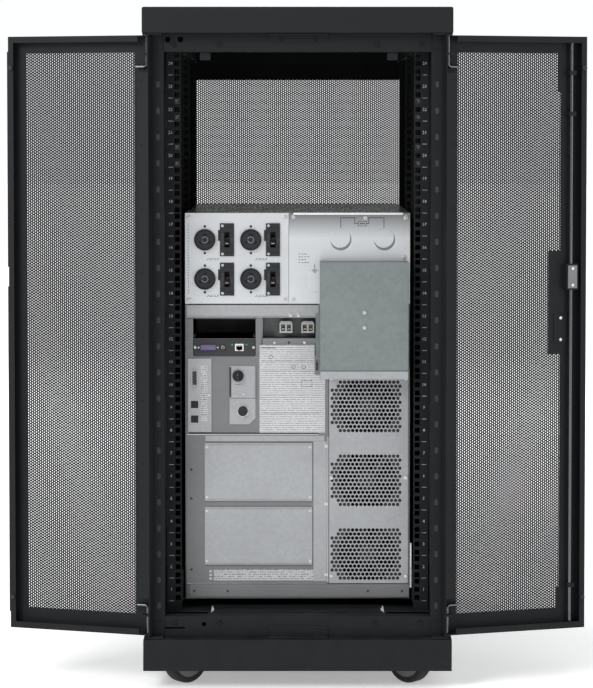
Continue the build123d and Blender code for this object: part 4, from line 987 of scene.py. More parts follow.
class RACK_OT_door_hardware(bpy.types.Operator):
    """Makes the hinge pins, lock rods, gearbox and swing handle of the rear doors"""
    bl_idname = "rack.door_hardware"
    bl_label = "Door hardware"

    def execute(self, context):
        for side, word in ((-1, "left"), (1, "right")):
            for level in ("upper", "lower"):
                self.pin(side, f"{word}_{level}_hinge_pin", level == "upper")
        for level in ("upper", "lower"):
            self.lock_rod(f"{level}_lock_rod")
        folded("latch_body", "right_door", "coat", 0.6)
        self.latch_details()
        self.handle()
        return {"FINISHED"}

    def pin(self, side, name, upper):
        """A bent round pin with a chamfered end and a retaining ring."""
        low, high = span(name)
        arm_z = low.z + 3.0 if upper else high.z - 3.0
        grow = 1 if upper else -1
        arm = rod((-side * 6, 0, arm_z), (-side * 22, 0, arm_z), 3.0, 20)
        inset(arm, (-side, 0, 0), 0.9)
        shape(arm, facing(side, 0, 0), bpy.ops.mesh.spin, steps=7, angle=grow * side * math.pi / 2,
              center=mm(-side * 6, 0, arm_z + grow * 6), axis=(0, 1, 0))
        stem = rod((0, 0, arm_z + grow * 5.0), (0, 0, high.z if upper else low.z), 4.0, 24)
        inset(stem, (0, 0, grow), 0.8)
        ring = rod((0, 0, arm_z + grow * 12), (0, 0, arm_z + grow * 13), 5.6, 24, 0.2)
        groove = rod((0, 0, arm_z + grow * 15), (0, 0, arm_z + grow * 15.8), 4.4, 24, 0.15)
        pin = hang(join([arm, stem, ring, groove]), side)
        give(pin, name + "_bent", name, "dark_metal", (name,))

    def lock_rod(self, name):
        """A lock rod with a chamfered nose and two bands near it."""
        low, high = span(name)
        nose, tail, way = (high.z, low.z, 1) if "upper" in name else (low.z, high.z, -1)
        bar = rod((LATCH_X, 4, tail), (LATCH_X, 4, nose), 4.0, 24)
        inset(bar, (0, 0, way), 1.4)
        bands = [rod((LATCH_X, 4, nose - way * drop), (LATCH_X, 4, nose - way * (drop + 1.0)), 4.0, 24)
                 for drop in (20, 24)]
        give(hang(join([bar, *bands]), 1), name + "_bar", name, "dark_metal", (name,))

    def latch_details(self):
        """Screws and a cover plate on the gearbox."""
        z = axis_of("rear_door_handle_turn").z
        face = 12.0
        cover = plate((-262, face, z - 22), (-243, face + 0.8, z + 22), 0.3)
        give(hang(cover, 1), "gearbox_cover", "right_door", "dark_metal")
        screw = cross_screw(3.2, 1.6)
        screw.data.transform(Matrix.Rotation(math.pi, 4, "Z"))
        spots = [(LATCH_X, face + 0.8, z + rise) for rise in (16, -16)]
        spots += [(-235.0, -4.5, z - drop) for drop in (80, 122)]
        give(hang(join(repeat(screw, spots)), 1), "gearbox_screws", "right_door", "zinc")

    def handle(self):
        """The outer swing handle with a finger hollow and a key cylinder."""
        z = axis_of("rear_door_handle_turn").z
        face = -10.9
        grip = round_corners(plate((LATCH_X - 11, face - 14, z - 128), (LATCH_X + 11, face, z + 11)), 7.3, 6)
        cut(grip, plate((LATCH_X - 30, face - 4, z - 122), (LATCH_X + 30, face + 1, z - 40), 2.0, 3))
        round_edges(grip, 1.4, 3, 40)
        barrel = rod((LATCH_X, face - 13.6, z), (LATCH_X, face - 14.0, z), 7.5, 32)
        key = rod((LATCH_X, face - 13.2, z - 24), (LATCH_X, face - 13.9, z - 24), 6.5, 32, 0.2)
        shaft = rod((LATCH_X, face - 1, z), (LATCH_X, 6.0, z), 5.0, 24)
        inset(shaft, FRONT, 1.0)
        give(hang(join([grip, barrel, shaft]), 1), "rear_swing_handle", "rear_door_handle", "black_plastic",
             ("rear_door_handle",))
        cut(key, plate((LATCH_X - 0.7, face - 16, z - 28), (LATCH_X + 0.7, face - 13.4, z - 20)))
        give(hang(key, 1), "rear_key_cylinder", "rear_door_handle", "zinc")


class RACK_OT_front_door(bpy.types.Operator):
    """Makes the front door pan, its perforated sheets and its swing handle"""
    bl_idname = "rack.front_door"
    bl_label = "Front door"

    def execute(self, context):
        settings = context.scene.rack_sheet
        folded("front_door", "front_door", "coat", 0.5)
        low, high = span("front_door_sheet")
        pitch = tuple(settings.front_pitch)
        width, height = (high.x - low.x) * 0.001, (high.z - low.z) * 0.001
        rows = int(height / 4 / pitch[1]) + 1
        part_height = rows * pitch[1]
        sheet = build_perforated(width, part_height, pitch, settings.front_web, 0.0015)
        for number in range(4):
            part = twin(sheet, (low.x, (low.y + high.y) / 2, low.z + number * part_height * 1000))
            trim(part, mm(0, 0, high.z), (0, 0, 1))
            close_webs(part)
            give(part, f"front_door_sheet_{number + 1}", "front_door", "perforated",
                 ("front_door_sheet",), 25)
        bpy.data.objects.remove(sheet)
        self.handle()
        return {"FINISHED"}

    def handle(self):
        """The front swing handle on its base."""
        low, high = span("front_door_handle")
        x, z = axis_of("front_door_handle_turn").x, axis_of("front_door_handle_turn").z
        face = span("front_door")[1].y
        grip = round_corners(plate((low.x, face + 0.4, low.z), (high.x, high.y, high.z)), 7.3, 6)
        cut(grip, plate((x - 30, face - 1, z - 122), (x + 30, face + 6, z - 40), 2.0, 3))
        round_edges(grip, 1.6, 3, 40)
        shaft = rod((x, low.y, z), (x, face + 2, z), 5.0, 24)
        inset(shaft, REAR, 1.0)
        give(join([grip, shaft]), "front_swing_handle", "front_door_handle", "black_plastic",
             ("front_door_handle",))
        key = rod((x, high.y - 0.6, z - 24), (x, high.y, z - 24), 6.5, 32, 0.2)
        cut(key, plate((x - 0.7, high.y - 0.3, z - 28), (x + 0.7, high.y + 1, z - 20)))
        give(key, "front_key_cylinder", "front_door_handle", "zinc")


class RACK_OT_castors(bpy.types.Operator):
    """Makes the four castor wheels, the forks and their bolts"""
    bl_idname = "rack.castors"
    bl_label = "Castors"

    def execute(self, context):
        folded("castor_mounts", "cabinet", "zinc", 0.6)
        for word in ("left", "right"):
            folded(f"rear_{word}_castor_fork", f"rear_{word}_castor_fork", "zinc", 0.6)
            for end in ("rear", "front"):
                self.wheel(f"{end}_{word}_castor_wheel", f"{end}_{word}_castor_roll")
        return {"FINISHED"}

    def wheel(self, name, joint):
        """A tyre with rounded shoulders on a ribbed hub with a capped bore."""
        centre = axis_of(joint)
        way = Vector(HINGES[joint]["axis"])
        angle = math.atan2(way.y, way.x)
        wheel = rod((-15, 0, 0), (15, 0, 0), 45, 64)
        rim = lambda edge: abs(edge.verts[0].co.x - edge.verts[1].co.x) < 1e-6
        shape(wheel, rim, bpy.ops.mesh.bevel, kind="EDGE", offset=0.0058, segments=5, affect="EDGES")
        for x in (-1, 1):
            terrace(wheel, (x, 0, 0), (6.2, -0.6), (1.6, -4.6), (18.0, 0.6), (1.2, 4.0), (5.5, -0.6),
                    (0.8, -2.0))
        cut(wheel, rod((-16, 0, 0), (16, 0, 0), 5.05, 32))
        hub = lambda face: math.hypot(face.calc_center_median().y, face.calc_center_median().z) < 0.0335
        give(wheel, name + "_turned", name, ["tyre", "grey_plastic"], (name,))
        mesh = bmesh.new()
        mesh.from_mesh(wheel.data)
        for face in mesh.faces:
            face.material_index = 1 if hub(face) else 0
        mesh.to_mesh(wheel.data)
        mesh.free()
        place = Matrix.Translation(mm(*centre)) @ Matrix.Rotation(angle, 4, "Z")
        wheel.data.transform(place)
        nut = hex_nut(6.0, 3.5)
        body = "cabinet" if name.startswith("front") else name.replace("wheel", "fork")
        nuts = [twin(nut, (side * 19.5, 0, 0), Matrix.Rotation(side * math.pi / 2, 4, "Z"))
                for side in (-1, 1)]
        bpy.data.objects.remove(nut)
        pair = join(nuts)
        pair.data.transform(place)
        give(pair, name.replace("wheel", "axle_nuts"), body, "zinc")


class RACK_OT_ups_case(bpy.types.Operator):
    """Makes the UPS case, its rear covers, seams, legend strip and rating label"""
    bl_idname = "rack.ups_case"
    bl_label = "UPS case"

    def execute(self, context):
        folded("ups_chassis", "cabinet", "wall", 0.3)
        self.covers()
        self.skin()
        self.labels()
        return {"FINISHED"}

    def covers(self):
        """The two lifted-edge covers, each with a hanging slot above and below."""
        covers = []
        for z1, z2 in COVER_HEIGHTS:
            cover = plate((COVER_X[0], PANEL_Y, z1), (COVER_X[1], WALL_Y, z2))
            terrace(round_corners(cover, 4.0, 4), REAR, (5.5, 0), (0.8, 0.45))
            cut(cover, *[plate((COVER_X[0] + 9, PANEL_Y - 2, low), (COVER_X[1] - 9, PANEL_Y + 0.9, high))
                         for low, high in ((z2 - 4.2, z2 - 2.6), (z1 + 2.4, z1 + 3.8))])
            covers.append(round_edges(cover, 0.25, 2, 50))
        give(join(covers), "service_covers", "cabinet", "sheet", ("cover_plates",))

    def skin(self):
        """Bright folded edges, dark seams, punched holes, and painted shadows around the fan panel and the
        covers on the rear wall.
        """
        bright, dark = [], []
        for z in (UPS_TOP - 1.0, UPS_BOTTOM + 325.0):
            dark.append(decal(-212, 41.0, z - 1.7, z + 1.2, WALL_Y, 0.25))
        dark.append(decal(-214, -79.0, SLOT_TOP + 0.8, SLOT_TOP + 2.2, WALL_Y, 0.25))
        dark.append(decal(37.0, 38.4, SERVICE_SPLIT + 70.0, UPS_TOP - 26.0, WALL_Y, 0.25))
        dark.append(decal(35.6, 40.2, SERVICE_SPLIT + 54.0, SERVICE_SPLIT + 70.0, WALL_Y, 0.25))
        dark.append(decal(-216, 58.0, UPS_BOTTOM + 27.5, UPS_BOTTOM + 28.9, WALL_Y, 0.25))
        for left, right, low, high, proud in (
                (-216, 41.0, UPS_BOTTOM + 321.8, UPS_BOTTOM + 323.4, 1.3),
                (-216, 58.0, UPS_BOTTOM + 29.3, UPS_BOTTOM + 30.6, 1.3),
                (-216, 41.0, SLOT_TOP + 3.0, SLOT_TOP + 4.4, 1.6),
                (58.6, 60.2, UPS_BOTTOM + 32, UPS_BOTTOM + 318, 1.5)):
            bright.append(plate((left, WALL_Y - proud, low), (right, WALL_Y, high), 0.3))
        hole = rod((0, 0, 0), (0, -0.3, 0), 2.4, 16)
        spots = [(-207.5, WALL_Y, z) for z in (UPS_BOTTOM + 253.5, UPS_BOTTOM + 196.7, UPS_BOTTOM + 57.0)]
        spots += [(-16.6, WALL_Y, UPS_TOP - 75.5)]
        spots += [(x, UPS_LOW.y, UPS_BOTTOM + 15.5) for x in (-202, -136.5, 137.5, 204)]
        dark += repeat(hole, spots)
        fan_low, fan_high = span("fan_panel")
        # Painted shadow: dark strips on the wall along the top, bottom and left edges of the fan panel.
        for z in (fan_low.z - 0.6, fan_high.z + 0.6):
            dark.append(decal(fan_low.x, fan_high.x, z - 0.6, z + 0.6, WALL_Y))
        dark.append(decal(fan_low.x - 1.3, fan_low.x - 0.1, fan_low.z, fan_high.z, WALL_Y))
        # Painted shadow: dark strips on the wall below, above and beside each cover.
        for z1, z2 in COVER_HEIGHTS:
            dark.append(decal(COVER_X[0] + 3, COVER_X[1] - 3, z1 - 1.3, z1 - 0.1, WALL_Y))
            dark.append(decal(COVER_X[0] + 3, COVER_X[1] - 3, z2 + 0.1, z2 + 1.1, WALL_Y))
            dark.append(decal(COVER_X[1] + 0.1, COVER_X[1] + 1.2, z1, z2, WALL_Y))
        # The seams and holes are real marks; the strips around the fan panel and the covers are painted shadow.
        give(join(dark), "rear_wall_seams", "cabinet", "ink")
        bar = plate((-216, WALL_Y - 0.5, SLOT_TOP + 5.4), (41.0, WALL_Y, UPS_TOP - 2.4), 0.2)
        under = plate((-163.9 - 16, WALL_Y - 0.4, UPS_BOTTOM + 309.5), (52, WALL_Y, UPS_BOTTOM + 320), 0.2)
        lower = plate((COVER_X[1] + 2, WALL_Y - 0.4, UPS_BOTTOM + 34), (57.5, WALL_Y, UPS_BOTTOM + 309), 0.2)
        give(join([bar, under, lower]), "rear_wall_bright_strips", "cabinet", "sheet")
        give(join(bright), "rear_wall_folds", "cabinet", "zinc")

    def labels(self):
        """The rating label and the legend strip, with generic marks only."""
        face = WALL_Y
        main = decal(-74.2, 33.2, UPS_BOTTOM + 325.8, UPS_TOP - 80.0, face, 0.3)
        wing = decal(33.2, 53.7, UPS_BOTTOM + 325.8, UPS_BOTTOM + 438.9, face, 0.3)
        give(join([main, wing]), "rating_label", "cabinet", "label")
        rules = []
        for z in (UPS_TOP - 112, UPS_TOP - 131, UPS_TOP - 178, UPS_TOP - 214):
            rules += line([(-70, z), (44 if z < UPS_BOTTOM + 436 else 30, z)], face - 0.3, 0.5)
        rules += line([(-70, UPS_TOP - 86), (-44, UPS_TOP - 86)], face - 0.3, 1.6)
        for x, z in ((-52, UPS_TOP - 104), (-8, UPS_TOP - 123), (12, UPS_TOP - 123)):
            ring = rod((x, face - 0.3, z), (x, face - 0.45, z), 4.0, 24)
            cut(ring, rod((x, face - 1, z), (x, face + 1, z), 3.2, 24))
            rules.append(ring)
        z = UPS_TOP - 150
        rules += line([(8, z), (28, z), (28, z - 12), (8, z - 12), (8, z)], face - 0.3, 0.6)
        give(join(rules), "label_rules", "cabinet", "ink")
        strip = decal(-163.9, 35.0, UPS_BOTTOM + 35.5, UPS_BOTTOM + 57.0, face, 0.3)
        give(strip, "legend_strip", "cabinet", "legend")
        signs = []
        for z in (UPS_BOTTOM + 39.0, UPS_BOTTOM + 46.2, UPS_BOTTOM + 53.4):
            signs.append(decal(-172.5, -167.5, z - 2.2, z + 2.2, face, 0.35))
        give(join(signs), "legend_signs", "cabinet", "paint")


class RACK_OT_ups_cards(bpy.types.Operator):
    """Makes the rear cards, connectors, bypass switch and card guides"""
    bl_idname = "rack.ups_cards"
    bl_label = "UPS rear cards"

    def execute(self, context):
        self.card()
        self.guides()
        self.comms()
        self.service()
        self.knob()
        self.leads()
        return {"FINISHED"}

    def d_connector(self, x, z, wide, tall, face, body_finish, name, rows=(7, 6), upright=False):
        """A D-shaped connector: plated shell, insert with contact holes and two jack posts."""
        shell = plate((x - wide / 2, face - 3.6, z - tall / 2), (x + wide / 2, face + 1, z + tall / 2))
        terrace(round_corners(shell, 2.6, 4), REAR, (0.6, 0), (0.3, -1.2))
        give(shell, name + "_shell", "cabinet", body_finish)
        insert = "violet_plastic" if body_finish == "violet_plastic" else "black_plastic"
        core = plate((x - wide / 2 + 1.1, face - 3.2, z - tall / 2 + 1.1),
                     (x + wide / 2 - 1.1, face, z + tall / 2 - 1.1), 0.6)
        holes = []
        long = (tall if upright else wide) - 8
        gap = long / (max(rows) - 1)
        for row, count in enumerate(rows):
            for number in range(count):
                along = gap * number - long / 2 + (0 if count == max(rows) else gap / 2)
                across = (row - 0.5) * 3.0
                dx, dz = (across, along) if upright else (along, across)
                holes.append(rod((x + dx, face - 5, z + dz), (x + dx, face - 2.2, z + dz), 0.55, 8))
        cut(core, join(holes))
        give(core, name + "_insert", "cabinet", insert)
        jack = rod((0, 0, 0), (0, -3.4, 0), 2.4, 6)
        inset(jack, REAR, 0.9, -1.6)
        reach = (tall if upright else wide) / 2 + 3.2
        spots = [(x, face, z + way * reach) if upright else (x + way * reach, face, z) for way in (-1, 1)]
        give(join(repeat(jack, spots)), name + "_jacks", "cabinet", "zinc")

    def card(self):
        """The management card: dark face, serial, round and network sockets."""
        low, high = CARD_Z
        middle = (low + high) / 2
        face = plate((CARD_X[0] + 1, PANEL_Y, low), (CARD_X[1] - 1, WALL_Y, high - 0.5))
        x_net = CARD_X[0] + 90.0
        cut(face, plate((x_net - 6.5, PANEL_Y - 1, middle - 5.5), (x_net + 6.5, PANEL_Y + 9, middle + 4.5)))
        round_edges(face, 0.3, 2, 50)
        board = plate((CARD_X[0] + 8, WALL_Y, low + 6), (CARD_X[1] - 8, WALL_Y + 168, low + 7.6), 0.2)
        card = join([face, board])
        give(card, "management_card_face", "cabinet", "dark_card", ("management_card",))
        self.d_connector(CARD_X[0] + 29.6, middle, 31, 11, PANEL_Y, "violet_plastic", "serial_socket", (8, 7))
        x_round = CARD_X[0] + 58
        socket = rod((x_round, PANEL_Y - 2.4, middle), (x_round, PANEL_Y + 1, middle), 6.0, 28, 0.3)
        inset(socket, REAR, 1.2, -1.2)
        give(socket, "round_socket", "cabinet", "dark_metal")
        pins = rod((0, 0, 0), (0, -0.6, 0), 0.7, 8)
        spots = [(x_round + 2.6 * math.cos(turn), PANEL_Y - 1.0, middle + 2.6 * math.sin(turn))
                 for turn in (0.5, 1.6, 2.7, 3.7, 5.7)]
        give(join(repeat(pins, spots)), "round_socket_pins", "cabinet", "contact")
        jack = plate((x_net - 8.5, PANEL_Y - 1.0, middle - 7), (x_net + 8.5, PANEL_Y + 0.5, middle + 7), 0.4)
        cut(jack, plate((x_net - 6, PANEL_Y - 3, middle - 5), (x_net + 6, PANEL_Y + 3, middle + 4)),
            plate((x_net - 2.5, PANEL_Y - 3, middle - 6.2), (x_net + 2.5, PANEL_Y + 3, middle - 4.5)))
        give(jack, "network_socket_frame", "cabinet", "light_plastic")
        comb = repeat(plate((-0.25, 0, -2.2), (0.25, 3.0, 0)),
                      [(x_net - 4 + 1.15 * n, PANEL_Y + 1.4, middle + 3.6) for n in range(8)])
        give(join(comb), "network_socket_contacts", "cabinet", "contact")
        lamps = [plate((x - 1.3, PANEL_Y - 0.5, middle + 4), (x + 1.3, PANEL_Y + 0.4, middle + 6.6), 0.2)
                 for x in (x_net - 14, x_net + 14)]
        give(join(lamps), "card_lamps", "cabinet", "lamp_green")

    def guides(self):
        """Card guides and the dark backplane in the spare slot."""
        low, high = CARD_Z[1] + 1, SLOT_TOP
        guides = []
        for x in (CARD_X[0] - 1.0, CARD_X[1] - 5.0):
            guide = plate((x, WALL_Y + 3, low + 1.0), (x + 5.5, WALL_Y + 120, low + 6.5), 0.3)
            open_low, open_high = (2, 8) if x < -150 else (-1, 4)
            cut(guide, plate((x + open_low, WALL_Y + 1, low + 3.0), (x + open_high, WALL_Y + 130, low + 4.8)))
            guides.append(guide)
        give(join(guides), "card_guides", "cabinet", "black_plastic")
        back = plate((CARD_X[0] + 2, WALL_Y + 122, low + 1), (CARD_X[1] - 2, WALL_Y + 123.6, high - 1))
        inset(back, REAR, 3.0, -0.4)
        socket = plate((CARD_X[0] + 25, WALL_Y + 114, low + 2), (CARD_X[1] - 35, WALL_Y + 122, low + 10), 0.5)
        give(join([back, socket]), "card_backplane", "cabinet", "ink")

    def comms(self):
        """The narrow comms module with its serial and two network sockets."""
        face_y = span("comms_module")[0].y + 4.5
        x = COMMS_X[0] + 13.2
        face = plate((COMMS_X[0], face_y, COMMS_Z[0]), (COMMS_X[1], WALL_Y, COMMS_Z[1]))
        jacks = [COMMS_Z[1] - drop for drop in (90.0, 118.5)]
        holes = [plate((x - 7, face_y - 2, z - 7), (x + 7, face_y + 2.4, z + 7)) for z in jacks]
        cut(face, *holes)
        round_edges(face, 0.35, 2, 50)
        body = plate((COMMS_X[0] + 4, WALL_Y, COMMS_Z[0] + 4),
                     (COMMS_X[1] - 4, WALL_Y + 120, COMMS_Z[1] - 4), 0.5)
        give(join([face, body]), "comms_module_case", "cabinet", "sheet",
             ("comms_module",))
        self.d_connector(x, COMMS_Z[1] - 38, 11, 29, face_y, "zinc", "comms_serial", (5, 4), True)
        boxes = []
        for z in jacks:
            box = plate((x - 7, face_y + 0.1, z - 7), (x + 7, WALL_Y + 1.0, z + 7))
            boxes.append(terrace(box, REAR, (1.0, 0), (0.2, -1.6)))
        give(join(boxes), "comms_network_sockets", "cabinet", "black_plastic")
        tag = decal(COMMS_X[0] + 25, COMMS_X[1] - 8, COMMS_Z[0] + 22, COMMS_Z[1] - 14, face_y, 0.25)
        give(tag, "comms_label", "cabinet", "legend")

    def service(self):
        """The bypass switch plate, and the plate with the round battery connector."""
        left, right = SERVICE_X
        upper = plate((left, PANEL_Y, SERVICE_SPLIT + 0.5), (right, WALL_Y, SERVICE_SPLIT + 63))
        cut(upper, rod((BYPASS.x, PANEL_Y - 1, BYPASS.z), (BYPASS.x, WALL_Y + 1, BYPASS.z), 4.3, 24))
        lower = plate((left, PANEL_Y, SERVICE_SPLIT - 51), (right, WALL_Y, SERVICE_SPLIT - 0.5))
        far, foot = right * 0.001 - 1e-4, (SERVICE_SPLIT - 50) * 0.001
        corner = lambda edge: all(point.co.x > far and point.co.z < foot for point in edge.verts)
        shape(lower, corner, bpy.ops.mesh.bevel, kind="EDGE", offset=0.012, segments=1, affect="EDGES")
        for piece in (upper, lower):
            round_edges(piece, 0.3, 2, 30)
        flange = plate((right - 1.4, PANEL_Y - 2.4, SERVICE_SPLIT + 2),
                       (right, PANEL_Y, SERVICE_SPLIT + 61.5), 0.3)
        give(join([upper, lower, flange]), "service_plate_pair", "cabinet", "sheet",
             ("service_plates",))
        # Painted shadow: a dark strip along the left edge of the bypass switch plate; the rest are printed
        # marks.
        shade = [decal(left - 0.2, left + 3.4, SERVICE_SPLIT + 2, SERVICE_SPLIT + 61, PANEL_Y)]
        shade += line([(BYPASS.x - 6, BYPASS.z - 17), (BYPASS.x + 6, BYPASS.z - 17)], PANEL_Y, 0.7)
        for turn in (-45, 0, 45, 90):
            ray = math.radians(turn + 90)
            x, z = BYPASS.x + 13.4 * math.cos(ray), BYPASS.z + 13.4 * math.sin(ray)
            shade.append(decal(x - 0.5, x + 0.5, z - 0.5, z + 0.5, PANEL_Y))
        give(join(shade), "bypass_marks", "cabinet", "ink")
        x, z = left + 26, SERVICE_SPLIT - 25
        plug = rod((x, PANEL_Y - 8.6, z), (x, PANEL_Y, z), 9.5, 40, 0.5)
        terrace(plug, REAR, (2.0, -0.2), (0.4, -4.5), (2.4, 0), (0.3, 3.2))
        pins = [rod((x + dx, PANEL_Y - 7, z + dz), (x + dx, PANEL_Y - 4, z + dz), 0.9, 10)
                for dx, dz in ((-1.8, 1.2), (1.8, 1.2), (0, -2))]
        cut(plug, join(pins))
        ring = rod((x, PANEL_Y - 1.2, z), (x, PANEL_Y, z), 12.5, 6, 0.3)
        cut(ring, rod((x, PANEL_Y - 3, z), (x, PANEL_Y + 1, z), 9.7, 40))
        give(plug, "battery_round_connector", "cabinet", "black_plastic")
        give(ring, "battery_connector_ring", "cabinet", "zinc")

    def knob(self):
        """The bypass knob: a knurled skirt under a pointer bar."""
        x, z = BYPASS.x, BYPASS.z
        low, high = span("bypass_knob")
        face = PANEL_Y - 0.4
        knob = rod((x, face - 6, z), (x, face, z), 11.0, 36)

        def every_other(edge):
            start, end = edge.verts[0].co, edge.verts[1].co
            turn = math.degrees(math.atan2(start.z - z * 0.001, start.x - x * 0.001))
            return abs(start.y - end.y) > 0.004 and round(turn / 10) % 2 == 0

        shape(knob, every_other, bpy.ops.mesh.bevel, kind="EDGE", offset=0.0006, segments=1, affect="EDGES")
        inset(knob, REAR, 1.2)
        bar = plate((x - 3, low.y, z - 10), (x + 3, face - 5, z + 10))
        shape(bar, outermost(bar, REAR), bpy.ops.mesh.inset, thickness=0.0008, depth=0.0)
        round_edges(bar, 0.9, 3, 40)
        stem = rod((x, face - 1, z), (x, high.y, z), 4.0, 24)
        inset(stem, FRONT, 0.8)
        give(join([knob, bar, stem]), "bypass_pointer_knob", "bypass_knob", "black_plastic",
             ("bypass_knob",))
        mark = plate((x - 0.6, low.y, z + 2), (x + 0.6, low.y + 0.3, z + 9.2))
        inset(mark, REAR, 0.1)
        give(mark, "bypass_knob_mark", "bypass_knob", "paint")

    def leads(self):
        """The two battery connectors in their recess, each with two contact blades."""
        low, high = span("battery_connectors")
        bodies, blades = [], []
        for left in (-35.2, 7.2):
            body = plate((left, low.y, low.z), (left + 25.4, high.y, high.z), 1.0, 2)
            middles = (left + 7.0, left + 18.4)
            cut(body, *[plate((x - 4, low.y - 1, low.z + 4), (x + 4, low.y + 14, high.z - 4), 0.8)
                        for x in middles])
            bodies.append(body)
            bodies.append(plate((left + 2, low.y + 1.0, high.z - 0.2),
                                (left + 23.4, low.y + 10, high.z + 2.4), 0.6))
            blades += [plate((x - 2.6, low.y + 5, low.z + 7), (x + 2.6, low.y + 14, low.z + 8.6), 0.3)
                       for x in middles]
        # Painted shade: a dark open box lines the recess, standing in for the shade inside it.
        box = plate((RECESS_X[0] + 0.3, WALL_Y + 0.6, RECESS_Z[0] + 0.3),
                    (RECESS_X[1] - 0.3, WALL_Y + 41.5, RECESS_Z[1] - 0.3))
        shape(box, outermost(box, REAR), bpy.ops.mesh.delete, type="FACE")
        apply(box, "SOLIDIFY", thickness=0.0004, offset=-1)
        give(box, "battery_recess_liner", "cabinet", "dark_card")
        give(join(bodies), "battery_lead_sockets", "cabinet", "mid_plastic",
             ("battery_connectors",))
        give(join(blades), "battery_lead_contacts", "cabinet", "contact")


class RACK_OT_fans(bpy.types.Operator):
    """Makes the fan panel with its three grilles, the fan frames and the rotors"""
    bl_idname = "rack.fans"
    bl_label = "Fans"

    def execute(self, context):
        self.panel(context.scene.rack_sheet)
        folded("fan_frames", "cabinet", "black_plastic", 0.8)
        for number, centre in enumerate(FAN_CENTRES, 1):
            self.rotor(number, centre)
        return {"FINISHED"}

    def panel(self, settings):
        """The panel, punched with staggered rows and cut back at the lower left of each grille."""
        low, high = span("fan_panel")
        panel = plate(low, (high.x, high.y - 0.5, high.z), 0.3)
        across, rise = (value * 1000 for value in settings.fan_pitch)
        hole = rod((0, low.y - 1, 0), (0, high.y + 1, 0), settings.fan_hole * 500, 10)
        steps = []
        for centre in FAN_CENTRES:
            for row in range(13):
                shift = 0 if row % 2 else 0.5
                for column in range(-9, 9):
                    x, z = (column + shift) * across, (row - 6) * rise
                    if -69 < x < 68 and abs(z) - x < 101:
                        steps.append((centre.x + x, 0, centre.z + z))
        cut(panel, *repeat(hole, steps))
        give(panel, "fan_panel_punched", "cabinet", "sheet", ("fan_panel",), 30)
        gaskets = []
        for centre in FAN_CENTRES:
            gasket = plate((low.x + 3, high.y - 0.5, centre.z - 56), (high.x - 3, high.y, centre.z + 56))
            cut(gasket, rod((centre.x, high.y - 2, centre.z), (centre.x, high.y + 2, centre.z), 57, 48))
            gaskets.append(gasket)
        give(join(gaskets), "fan_gaskets", "cabinet", "tyre")

    def rotor(self, number, centre):
        """A hub with seven curved and pitched blades, each made of one bent strip."""
        low, high = span(f"fan_rotor_{number}")
        start, end = low.y, high.y
        hub_end = end - 5.5
        hub = rod((0, start, 0), (0, hub_end, 0), 20, 40, 1.5, 3)
        terrace(hub, REAR, (3.0, -0.4), (6.0, 0.4))
        stem = rod((0, hub_end - 1, 0), (0, end, 0), 3.0, 16)
        inset(stem, FRONT, 0.5)
        blade = plate((18.5, -1.1, -13), (54.8, 1.1, 13))
        shape(blade, lambda part: True, bpy.ops.mesh.subdivide, kind="FACE", number_cuts=4)
        for corner in blade.data.vertices:
            reach = (corner.co.x * 1000 - 18.5) / 36.3
            twist = math.radians(52 - 24 * reach)
            depth, width = corner.co.y, corner.co.z * (0.82 + 0.28 * reach)
            cup = -0.0028 * (1 - (corner.co.z / 0.013) ** 2)
            corner.co.z = width * math.cos(twist) - (depth + cup) * math.sin(twist) + 0.004 * reach * reach
            corner.co.y = width * math.sin(twist) + (depth + cup) * math.cos(twist)
        middle = (start + hub_end) / 2
        blade.data.transform(Matrix.Translation(mm(0, middle, 0)))
        apply(blade, "BEVEL", width=0.0003, segments=1, limit_method="ANGLE", angle_limit=1.0)
        blades = [twin(blade, turn=Matrix.Rotation(2 * math.pi * step / 7, 4, "Y")) for step in range(7)]
        bpy.data.objects.remove(blade)
        rotor = join([hub, stem, *blades])
        rotor.data.transform(Matrix.Translation(mm(centre.x, 0, centre.z)))
        give(rotor, f"fan_rotor_{number}_bladed", f"fan_rotor_{number}", "black_plastic",
             (f"fan_rotor_{number}",), 50)
        disc = rod((centre.x, start + 0.15, centre.z), (centre.x, start + 0.6, centre.z), 15, 32)
        inset(disc, REAR, 1.0, -0.1)
        give(disc, f"fan_hub_disc_{number}", f"fan_rotor_{number}", "dark_card")


